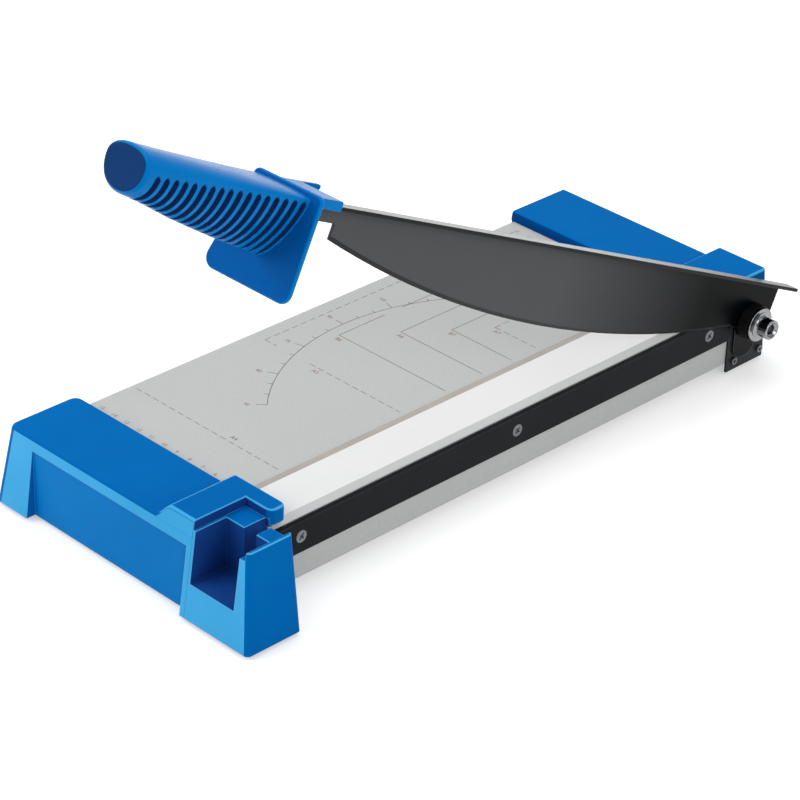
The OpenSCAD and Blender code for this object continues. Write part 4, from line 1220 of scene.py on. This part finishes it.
@dataclass(frozen=True)
class Pivot:
    """Turned parts stacked on the pivot bolt, outside the blade.

    The recess in the bolt's head is given as radius and depth.
    """

    bolt_r: float = 4.0
    bolt_tail: float = -11.3
    bore_gap: float = 0.1
    disc_x: float = 4.6
    disc_t: float = 1.14
    disc_gap: float = 0.04
    disc_count: int = 5
    disc_r: float = 10.75
    thin: float = 0.8
    thick: float = 1.2
    washer_r: float = 10.0
    collar: float = 2.0
    collar_rim: float = 0.4
    collar_out: float = 1.6
    collar_in: float = 0.4
    head_r: float = 5.9
    head_len: float = 6.5
    head_edges: Flat = (0.3, 0.6)
    recess: Sequence[Flat] = ((4.7, 0.0), (4.35, 0.25), (3.5, 1.2), (3.2, 1.3), (0.0, 1.3))
    socket_af: float = 6.0
    socket_deep: float = 4.0

    def ring(self, r: float, x0: float, x1: float, edge: float) -> list[Flat]:
        """Draws the profile of a washer with rounded outer edges.

        Args:
            r: the washer's radius.
            x0: start along the axis.
            x1: end along the axis.
            edge: radius of the outer edges.

        Returns:
            The profile as radius and x.
        """
        inner = self.bolt_r + self.bore_gap
        return [(inner, x0), *arc_pairs(r - edge, x0 + edge, edge, -90, 0),
                *arc_pairs(r - edge, x1 - edge, edge, 0, 90), (inner, x1)]

    def build(self) -> None:
        """Builds and dresses the stack."""
        pack, x = [], self.disc_x
        for _ in range(self.disc_count):
            pack.append(lathe(self.ring(self.disc_r, x, x + self.disc_t, 0.42)))
            x += self.disc_t + self.disc_gap
        self.fit(merged(pack), "disc_pack", "spring_washers", Finishes.DISC)
        thin = lathe(self.ring(self.washer_r * 0.93, x, x + self.thin, 0.25))
        self.fit(thin, "bright_thin_washer", "thin_washer")
        x += self.thin + self.disc_gap
        thick = lathe(self.ring(self.washer_r, x, x + self.thick, 0.35))
        self.fit(thick, "bright_thick_washer", "thick_washer")
        x += self.thick + self.disc_gap
        low, high = self.head_r + self.collar_out, self.head_r - self.collar_in
        inner, rim = self.bolt_r + self.bore_gap, self.collar_rim
        cove = [(low - (low - high) * math.sin(t),
                 x + rim + (self.collar - rim) * (1 - math.cos(t))) for t in quarter(10)]
        collar = lathe([(inner, x), (low, x), *cove, (inner, x + self.collar)])
        self.fit(collar, "coved_collar", "head_collar")
        x += self.collar
        self.bolt(x + self.disc_gap, x + self.head_len)

    def fit(self, obj: Object, name: str, node: str, finish: "Finishes | None" = None) -> None:
        """Mounts one turned part on the base, in chrome unless a finish is given."""
        mount(obj, name, "base", [finish or Finishes.CHROME], [node])

    def bolt(self, x0: float, x1: float) -> None:
        """Builds and dresses the shoulder bolt.

        Args:
            x0: start of its head along the axis.
            x1: end of its head.
        """
        r, tail = self.head_r, self.bolt_tail
        under, over = self.head_edges
        profile = [(0.0, tail), (self.bolt_r - 0.5, tail), (self.bolt_r, tail + 0.5),
                   (self.bolt_r, x0), *arc_pairs(r - under, x0 + under, under, -90, 0, 3),
                   *arc_pairs(r - over, x1 - over, over, 0, 90),
                   *[(u, x1 - deep) for u, deep in self.recess]]
        body = lathe(profile)
        hexagon = disc(*DATUM.PIVOT, self.socket_af / math.sqrt(3), 6)
        work(body, [(Op.CUT, prism(Axis.X, hexagon, x1 - self.socket_deep, x1 + 1.0))])
        self.fit(body, "shoulder_bolt", "pivot_bolt")


def arc_pairs(r: float, x: float, edge: float, start: float, end: float,
              steps: int = 5) -> list[Flat]:
    """Arc of a turned profile, as radius and x; 0 degrees points outward."""
    turns = [math.radians(start + (end - start) * k / steps) for k in range(steps + 1)]
    return [(r + edge * math.cos(t), x + edge * math.sin(t)) for t in turns]


# Pieces of the arm


@dataclass(frozen=True)
class Blade:
    """Folded blade: web, top flange with its tail, curved edge with its ground bevel, tang."""

    x0: float = 2.3
    thick: float = 2.0
    top: float = 24.2
    flange: float = 9.7
    tail: float = 24.5
    web_tail: float = 17.0
    end: float = 368.5
    flange_end: float = 387.0
    tang_end: float = 498.0
    tang_h: float = 10.2
    edge_r: float = 760.0
    belly: float = 21.6
    belly_at: float = 167.0
    bevel: float = 2.2
    heel: float = 10.4
    fold_r: float = 1.6
    rim_r: float = 0.35
    bore_r: float = 6.02
    ground_from: float = 13.4
    ground_run: float = 4.0
    ground_full: float = 17.4
    web_drop: float = 2.4
    throat_r: float = 1.2
    edge_steps: int = 70

    def edge(self, a: float, lift: float = 0.0) -> float:
        """Height of the curved edge at a distance along the arm."""
        r = self.edge_r - lift
        return self.edge_r - self.belly - math.sqrt(r * r - (a - self.belly_at) ** 2)

    def low(self, a: float, lift: float) -> float:
        """Finds the height of the web's lower outline, heel included.

        Args:
            a: distance along the arm.
            lift: how far the ground edge is raised.

        Returns:
            The height over the pivot's level.
        """
        ground = lift * share((a - self.ground_from) / self.ground_run)
        n = self.edge(a, ground)
        if abs(a) < self.heel:
            n = min(n, -math.sqrt(self.heel ** 2 - a * a))
        return n

    def web(self, lift: float) -> list[Flat]:
        """Draws the outline of the web and tang.

        Args:
            lift: how far the ground edge is raised.

        Returns:
            The outline's points as a and n.
        """
        top, tang = self.top - self.web_drop, self.top - self.tang_h
        stations = [-self.web_tail, -13.0,
                    *[self.heel * math.sin(math.radians(t)) for t in range(-90, 91, 6)],
                    11.5, self.ground_from, 15.4]
        first, steps = self.ground_full, self.edge_steps
        stations += [first + (self.end - first) * k / steps for k in range(steps + 1)]
        lower = [(a, self.low(a, lift)) for a in stations]
        r = self.throat_r
        inner = [(self.end + r * (1 - math.cos(math.radians(t))),
                  tang - r + r * math.sin(math.radians(t))) for t in (0, 30, 60, 90)]
        return [*lower, *inner, (self.tang_end, tang), (self.tang_end, self.top - 0.02),
                (self.end + 6, self.top - 0.02), (self.end + 6, top), (-self.web_tail, top)]

    def build(self) -> None:
        """Builds and dresses the blade."""
        x0, x1 = self.x0, self.x0 + self.thick
        web = skin([[(x, a, n) for a, n in self.web(lift)]
                    for x, lift in ((x0, 0.0), (x1, self.bevel))], DATUM.arm)
        top, out, r, s = self.top, self.x0 + self.flange, self.fold_r, self.rim_r
        low = top - self.thick
        rim = [*arc(out - s, low + s, s, -90, 0, 3), *arc(out - s, top - s, s, 0, 90, 3),
               *arc(x0 + r, top - r, r, 90, 180)]
        section = [(x0, low - 3), (x1, low - 3), *arc(x1 + 0.5, low - 0.5, 0.5, 180, 90, 3), *rim]
        flange = prism(Axis.Y, section, -self.web_tail, self.flange_end, DATUM.arm)
        leaf = [*arc(x0 + s, low + s, s, 180, 270, 3), *rim]
        tail = prism(Axis.Y, leaf, -self.tail, -self.web_tail + 1.0, DATUM.arm)
        hole = prism(Axis.X, disc(0.0, 0.0, self.bore_r), x0 - 1, x1 + 1, DATUM.arm)
        blade = work(web, [(Op.JOIN, flange), (Op.JOIN, tail), (Op.CUT, hole)])
        finishes = [Finishes.BLADE, Finishes.FLANGE, Finishes.EDGE]
        piece = mount(blade, "cutting_blade", "arm", finishes, ["blade"], 25.0)
        over = DATUM.arm_way(0.0, 1.0)
        side = DATUM.base(out - 0.5, 0.0, 0.0).x
        dress(piece, 1, lambda face: face.normal.dot(over) > 0.9)
        dress(piece, 2, lambda face: face.center.x > side
              or (0.2 < face.normal.x < 0.96 and face.normal.dot(over) < -0.1))


@dataclass(frozen=True)
class Guard:
    """Guard plate with rounded rims, and the cover over the end of the blade's flange.

    The cheek lies beside the tang, the slot takes the tang, and the end room the flange.
    """

    start: float = 410.5
    thick: float = 3.0
    right: float = 30.6
    left: float = -27.2
    left_top: float = -15.6
    low: float = -22.9
    high: float = 30.8
    corner: float = 6.0
    top_corner: float = 3.5
    left_turn: float = 167.0
    rim: float = 1.2
    cover_a: float = 379.0
    cover_left: float = -17.6
    cover_right: float = 14.0
    cover_low: float = 24.5
    cover_t: float = 2.6
    hem_t: float = 1.6
    hem_low: float = 22.2
    tab: float = 14.5
    tab_r: float = 1.4
    cheek: tuple[Point, Point] = ((0.1, 398.5, 12.0), (6.5, 411.5, 25.5))
    slot: tuple[Point, Point] = ((2.2, 360.0, 13.9), (4.4, 414.5, 24.3))
    end_room: tuple[Point, Point] = ((2.2, 378.0, 22.1), (12.1, 387.3, 24.3))

    def outline(self, inset: float) -> list[Flat]:
        """Draws the outline of the plate.

        Args:
            inset: how far it is drawn in from the rim.

        Returns:
            The outline's points as x and n.
        """
        r, s = self.corner, self.top_corner
        mids = [(self.right - r, self.low + r, r, -90, 0),
                (self.right - s, self.high - s, s, 0, 90),
                (self.left_top + s, self.high - s, s, 90, self.left_turn),
                (self.left + r, self.low + r, r, self.left_turn, 270)]
        points: list[Flat] = []
        for x, n, radius, start, end in mids:
            points += arc(x, n, max(radius - inset, 0.2), start, end, 6)
        return points

    def plate(self) -> Object:
        """Builds the plate with its rounded rim.

        Returns:
            The plate as a solid.
        """
        rings, turns = [], quarter(6)
        for face, way, order in ((self.start, 1, turns),
                                 (self.start + self.thick, -1, turns[::-1])):
            for turn in order:
                inset, reach = self.rim * (1 - math.sin(turn)), self.rim * (1 - math.cos(turn))
                rings.append([(x, face + way * reach, n) for x, n in self.outline(inset)])
        return skin(rings, DATUM.arm)

    def build(self) -> None:
        """Builds and dresses the guard."""
        low, high = self.cover_low, self.cover_low + self.cover_t
        left, out, end, r = self.cover_left, self.cover_right, self.start + 1.0, 1.0
        section = [(left + 0.3, low), (out - self.hem_t, low), (out - self.hem_t, self.hem_low),
                   (out, self.hem_low), *arc(out - r, high - r, r, 0, 90, 4),
                   *arc(left + 0.5, high - 0.5, 0.5, 90, 180, 3)]
        cover = prism(Axis.Y, section, self.cover_a, end, DATUM.arm)
        tip, tip_r = self.cover_a - self.tab + self.tab_r, self.tab_r
        side = [(end, low), (end, high), (self.cover_a, high),
                *arc(tip, low + tip_r, tip_r, 90, 270, 8), (self.cover_a, low)]
        tab = prism(Axis.X, side, left - 0.02, left + 2.2, DATUM.arm)
        guard = work(self.plate(), [
            (Op.JOIN, cover), (Op.JOIN, tab), (Op.JOIN, box(*self.cheek, DATUM.arm)),
            (Op.CUT, box(*self.slot, DATUM.arm)), (Op.CUT, box(*self.end_room, DATUM.arm))])
        # The guard's broad faces take the painted shade; its rims and cover keep the grip blue
        piece = mount(guard, "guard", "arm", [Finishes.GUARD_PAINTED_SHADE, Finishes.GRIP_BLUE],
                      ["hand_guard"], 28.0)
        along = DATUM.arm_way(1.0, 0.0)
        dress(piece, 1, lambda face: abs(face.normal.dot(along)) < 0.8)


@dataclass(frozen=True)
class Grip:
    """Grip with a smooth crown, grooved cheeks below it and a flat butt.

    Each table gives a size at several distances along the arm. The shape of a groove's tip,
    foot and depth is given in shares of the way down a cheek, and its wall's run in shares
    of its half width.
    """

    start: float = 413.5
    end: float = 515.2
    mid: float = 4.0
    half: Sequence[Flat] = ((413.5, 20.2), (462.0, 16.2), (516.0, 14.2))
    crease: Sequence[Flat] = ((413.5, 26.8), (516.0, 25.4))
    top: Sequence[Flat] = ((413.5, 28.9), (450.0, 30.9), (496.0, 33.2), (516.0, 34.4))
    low: Sequence[Flat] = ((413.5, -7.2), (430.0, -4.6), (447.0, -1.9), (464.0, 1.0), (480.0, 4.0),
                           (498.0, 8.2), (516.0, 11.6))
    crown: Sequence[Flat] = ((413.5, 2.6), (516.0, 2.3))
    cheek: Sequence[Flat] = ((413.5, 1.4), (516.0, 2.2))
    butt_r: float = 2.2
    grooves: int = 17
    first: float = 507.0
    pitch: float = 5.65
    width: float = 3.6
    depth: float = 2.4
    head: float = 0.03
    tip_run: float = 0.09
    tip_least: float = 0.15
    foot_end: float = 0.97
    foot_run: float = 0.3
    wall_run: float = 0.3
    depth_run: float = 0.03
    offsets: Sequence[float] = (-1.0, -0.94, -0.88, -0.8, -0.7, -0.35, 0.0, 0.35, 0.7, 0.8, 0.88,
                                0.94, 1.0)
    downs: Sequence[float] = (0.0, 0.02, 0.04, 0.05, 0.06, 0.075, 0.09, 0.11, 0.14, 0.18, 0.24,
                              0.3, 0.35, 0.4, 0.45, 0.5, 0.55, 0.6, 0.65, 0.7, 0.75, 0.8, 0.85,
                              0.9, 0.95)

    @staticmethod
    def along(table: Sequence[Flat], a: float) -> float:
        """Reads a table at a distance along the arm.

        Args:
            table: distances and values, in order.
            a: the distance.

        Returns:
            The value there.
        """
        for (a0, v0), (a1, v1) in zip(table, table[1:]):
            if a <= a1:
                return v0 + (v1 - v0) * (a - a0) / (a1 - a0)
        return table[-1][1]

    def stations(self) -> list[tuple[float, float | None]]:
        """Lists the steps round the section.

        Returns:
            For each step its turn in half turns, and its way down a cheek from 0 to 1 or None
            on the crown.
        """
        upper: list[tuple[float, float | None]] = [(k / 30, None) for k in range(30)]
        left = [(1 + down / 2, down) for down in self.downs]
        right = [(2 - down / 2, down) for down in [1.0, *reversed(self.downs[1:])]]
        return [*upper, *left, *right]

    def ring(self, middle: float, offset: float = 0.0, groove: bool = False,
             inset: float = 0.0) -> list[Point]:
        """One section of the grip.

        Args:
            middle: distance along the arm, or that of the groove's middle.
            offset: distance from the groove's middle, in its half widths.
            groove: True where the section runs through a groove.
            inset: how far the section is drawn in at the rounded butt.

        Returns:
            The section's points.
        """
        points = []
        for half_turns, down in self.stations():
            squeeze, shift = 1.0, 0.0
            if groove and down is not None:
                tip = share((down - self.head) / self.tip_run)
                foot = share((self.foot_end - down) / self.foot_run)
                squeeze = max(self.tip_least, math.sqrt(1 - (1 - tip) ** 2)) * (0.3 + 0.7 * foot)
                wall = share((1.0 - abs(offset)) / self.wall_run)
                depth = share((down - self.head) / self.depth_run) * min(1.0, foot * 1.6)
                shift = self.depth * wall * wall * (3 - 2 * wall) * depth
            a = middle + offset * self.width / 2 * squeeze
            mid_n, half = self.along(self.crease, a), self.along(self.half, a) - inset
            turn = math.pi * half_turns
            cos, sin = math.cos(turn), math.sin(turn)
            if down is None:
                power, tall = self.along(self.crown, a), self.along(self.top, a) - mid_n - inset
            else:
                power, tall = self.along(self.cheek, a), mid_n - self.along(self.low, a) - inset
            x = half * math.copysign(abs(cos) ** (2 / power), cos)
            n = tall * math.copysign(abs(sin) ** (2 / power), sin)
            scale = 1 - shift / max(math.hypot(x, n), shift + 0.1)
            points.append((self.mid + x * scale, a, mid_n + n * scale))
        return points

    def rings(self) -> tuple[list[list[Point]], list[int]]:
        """Draws all the sections in order.

        Returns:
            The sections, and the number of each groove's first section.
        """
        mids = sorted(self.first - self.pitch * k for k in range(self.grooves))
        rings = [self.ring(self.start), self.ring(self.start + 0.6)]
        starts = []
        for middle in mids:
            starts.append(len(rings))
            rings += [self.ring(middle, offset, True) for offset in self.offsets]
        for a in (self.first + self.width / 2 + 0.8, self.first + self.width / 2 + 3.0):
            rings.append(self.ring(a))
        for k in range(8):
            turn = math.pi / 2 * k / 7
            rings.append(self.ring(self.end - self.butt_r * (1 - math.sin(turn)),
                                   inset=self.butt_r * (1 - math.cos(turn))))
        return rings, starts

    def build(self) -> None:
        """Builds and dresses the grip."""
        rings, starts = self.rings()
        finishes = [Finishes.GRIP_BLUE, Finishes.GRIP_PAINTED_SHADE, Finishes.GROOVE_PAINTED_SHADE]
        piece = mount(skin(rings, DATUM.arm), "grip", "arm", finishes,
                      ["hand_grip"], 50.0)
        faces, stations = piece.data.polygons, self.stations()
        # The groove floors take the painted shade
        for start in starts:
            for row in range(1, len(self.offsets) - 2):
                for k, (_, down) in enumerate(stations):
                    if down is not None and 0.08 < down < 0.9:
                        faces[(start + row) * len(stations) + k].material_index = 2
        # Painted shade on the butt and its left-facing rounding
        butt = DATUM.arm_way(1.0, 0.0)
        dress(piece, 1,
              lambda face: face.normal.dot(butt) > (0.15 if face.normal.x < -0.3 else 0.9))


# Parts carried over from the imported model


@dataclass(frozen=True)
class Carried:
    """CAD parts that keep their own shape and get their finish here."""

    table: dict[str, Finishes] = field(default_factory=lambda: {
        "table_sheet": Finishes.TABLE, "table_rails": Finishes.RAIL,
        "backing_bar": Finishes.BACKING, "far_cap_screws": Finishes.ZINC,
        "near_cap_screws": Finishes.ZINC, "rubber_feet": Finishes.RUBBER,
        "bed_knife": Finishes.KNIFE, "bed_knife_screws": Finishes.DULL,
        "strip_guide_pins": Finishes.PIN, "strip_springs": Finishes.PIN,
        "pivot_bracket": Finishes.BRACKET, "bearing_plate": Finishes.PLATE,
        "bracket_screws": Finishes.DULL, "pivot_nut": Finishes.ZINC,
        "nut_washer": Finishes.ZINC, "pivot_bush": Finishes.BRONZE,
        "grip_screws": Finishes.ZINC})

    def build(self) -> None:
        """Dresses the carried-over parts."""
        for node, finish in self.table.items():
            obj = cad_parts[node]
            for slot in obj.material_slots:
                slot.material = finish.material()
            log.info("%s carried over as %s", node, finish.value.name)


# Studio


@dataclass(frozen=True)
class Studio:
    """Floor, lights and the camera at the photograph's angle."""

    eye: Point = (944.5, -1213.6, 819.8)
    azimuth: float = 44.53
    elevation: float = 29.99
    roll: float = 1.94
    focal_px: float = 3086.7
    picture_px: float = 800.0
    sensor: float = 36.0
    clip: Flat = (0.05, 50.0)
    look_at: Point = (0.0, 0.0, 0.05)
    sky: tuple[float, float, float, float] = (0.0, 0.9, 0.40, 0.52)
    wall_top: Flat = (0.3, 0.16)
    wall_side: Flat = (0.0, 0.35)
    backdrop: float = 0.8
    floor_reach: float = 4.0
    floor_grey: float = 0.85
    floor_glow: float = 0.45
    lamps: Sequence[tuple[str, Point, Flat, float]] = (
        ("key", (-0.9, -1.6, 1.3), (1.4, 0.9), 16.0),
        ("top", (-0.3, 0.3, 1.9), (1.6, 1.6), 13.4),
        ("fill", (1.7, -0.3, 0.9), (1.0, 1.0), 9.0))

    def camera(self) -> None:
        """Sets up the camera."""
        az, el, roll = (math.radians(v) for v in (self.azimuth, self.elevation, self.roll))
        back = Vector((math.sin(az) * math.cos(el), -math.cos(az) * math.cos(el), math.sin(el)))
        right = Vector((math.cos(az), math.sin(az), 0.0))
        up = back.cross(right)
        x = right * math.cos(roll) + up * math.sin(roll)
        y = up * math.cos(roll) - right * math.sin(roll)
        data = bpy.data.cameras.new("camera")
        data.sensor_width = self.sensor
        data.lens = self.focal_px / self.picture_px * self.sensor
        data.clip_start, data.clip_end = self.clip
        camera = bpy.data.objects.new("camera", data)
        bpy.context.scene.collection.objects.link(camera)
        turn = Matrix((x, y, back)).transposed().to_4x4()
        camera.matrix_world = Matrix.Translation(DATUM.base(*self.eye)) @ turn
        bpy.context.scene.camera = camera

    def floor(self) -> None:
        """Lays the white floor, which keeps the object's shadow."""
        bm = bmesh.new()
        reach = self.floor_reach
        corners = [(-reach, -reach), (reach, -reach), (reach, reach), (-reach, reach)]
        bm.faces.new([bm.verts.new((u, v, 0.0)) for u, v in corners])
        floor = new_object("floor", bm)
        material = bpy.data.materials.new("studio_floor")
        sheet = Sheet(material, "ShaderNodeOutputMaterial", "Object")
        path = sheet.add("ShaderNodeLightPath").outputs
        seen = sheet.work("MAXIMUM", path["Is Camera Ray"], path["Is Glossy Ray"])
        glow = sheet.work("MULTIPLY", seen, self.floor_glow)
        both = sheet.add("ShaderNodeAddShader")
        plain = sheet.add("ShaderNodeBsdfDiffuse", Color=(*[self.floor_grey] * 3, 1.0))
        sheet.feed(both.inputs[0], plain.outputs[0])
        sheet.feed(both.inputs[1], sheet.add("ShaderNodeEmission", Strength=glow).outputs[0])
        sheet.feed(sheet.surface, both.outputs[0])
        floor.data.materials.append(material)

    def world(self) -> None:
        """Soft surrounding light, with a white background for the camera."""
        world = bpy.data.worlds.new("studio")
        bpy.context.scene.world = world
        sheet = Sheet(world, "ShaderNodeOutputWorld", "Generated")
        way = sheet.add("ShaderNodeSeparateXYZ", Vector=sheet.place).outputs
        start, end, low, high = self.sky
        climb = sheet.spread(way["Z"], low, high, start, end, "SMOOTHSTEP")
        path = sheet.add("ShaderNodeLightPath").outputs
        wall = sheet.work("MULTIPLY", path["Is Glossy Ray"],
                          sheet.spread(way["Z"], 0.0, 1.0, *self.wall_top))
        wall = sheet.work("MULTIPLY", wall, sheet.spread(way["Y"], 0.0, 1.0, *self.wall_side))
        mix = sheet.add("ShaderNodeMixShader")
        soft = sheet.add("ShaderNodeBackground", Color=(1.0, 1.0, 1.0, 1.0), Strength=climb)
        white = sheet.add("ShaderNodeBackground", Color=(*[self.backdrop] * 3, 1.0), Strength=1.0)
        sheet.feed(mix.inputs[0], sheet.work("MAXIMUM", path["Is Camera Ray"], wall))
        sheet.feed(mix.inputs[1], soft.outputs[0])
        sheet.feed(mix.inputs[2], white.outputs[0])
        sheet.feed(sheet.surface, mix.outputs[0])

    def lamp(self, name: str, at: Point, size: Flat, power: float) -> None:
        """Adds a soft lamp that looks at the object's middle.

        Args:
            name: the lamp's name.
            at: its place in metres, from the middle of the object's foot.
            size: width and height in metres.
            power: power in watts.
        """
        data = bpy.data.lights.new(name, "AREA")
        data.shape = "RECTANGLE"
        data.size, data.size_y = size
        data.energy = power
        lamp = bpy.data.objects.new(name, data)
        bpy.context.scene.collection.objects.link(lamp)
        lamp.location = at
        lamp.rotation_mode = "QUATERNION"
        lamp.rotation_quaternion = (Vector(self.look_at) - Vector(at)).to_track_quat("-Z", "Y")

    def build(self) -> None:
        """Sets up the studio."""
        self.camera()
        self.floor()
        self.world()
        for lamp in self.lamps:
            self.lamp(*lamp)
        bpy.context.scene.view_settings.view_transform = "Standard"


def main() -> None:
    """Builds the cutter's pieces in order, then the studio."""
    logging.basicConfig(level=logging.INFO, format="%(name)s: %(message)s")
    parts = (Carried(), FarCap(), NearCap(), Strip(), Print(), Pivot(), Blade(), Guard(), Grip(),
             Studio())
    for part in parts:
        log.info("building %s", type(part).__name__)
        part.build()
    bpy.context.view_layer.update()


if __name__ == "__main__":
    main()
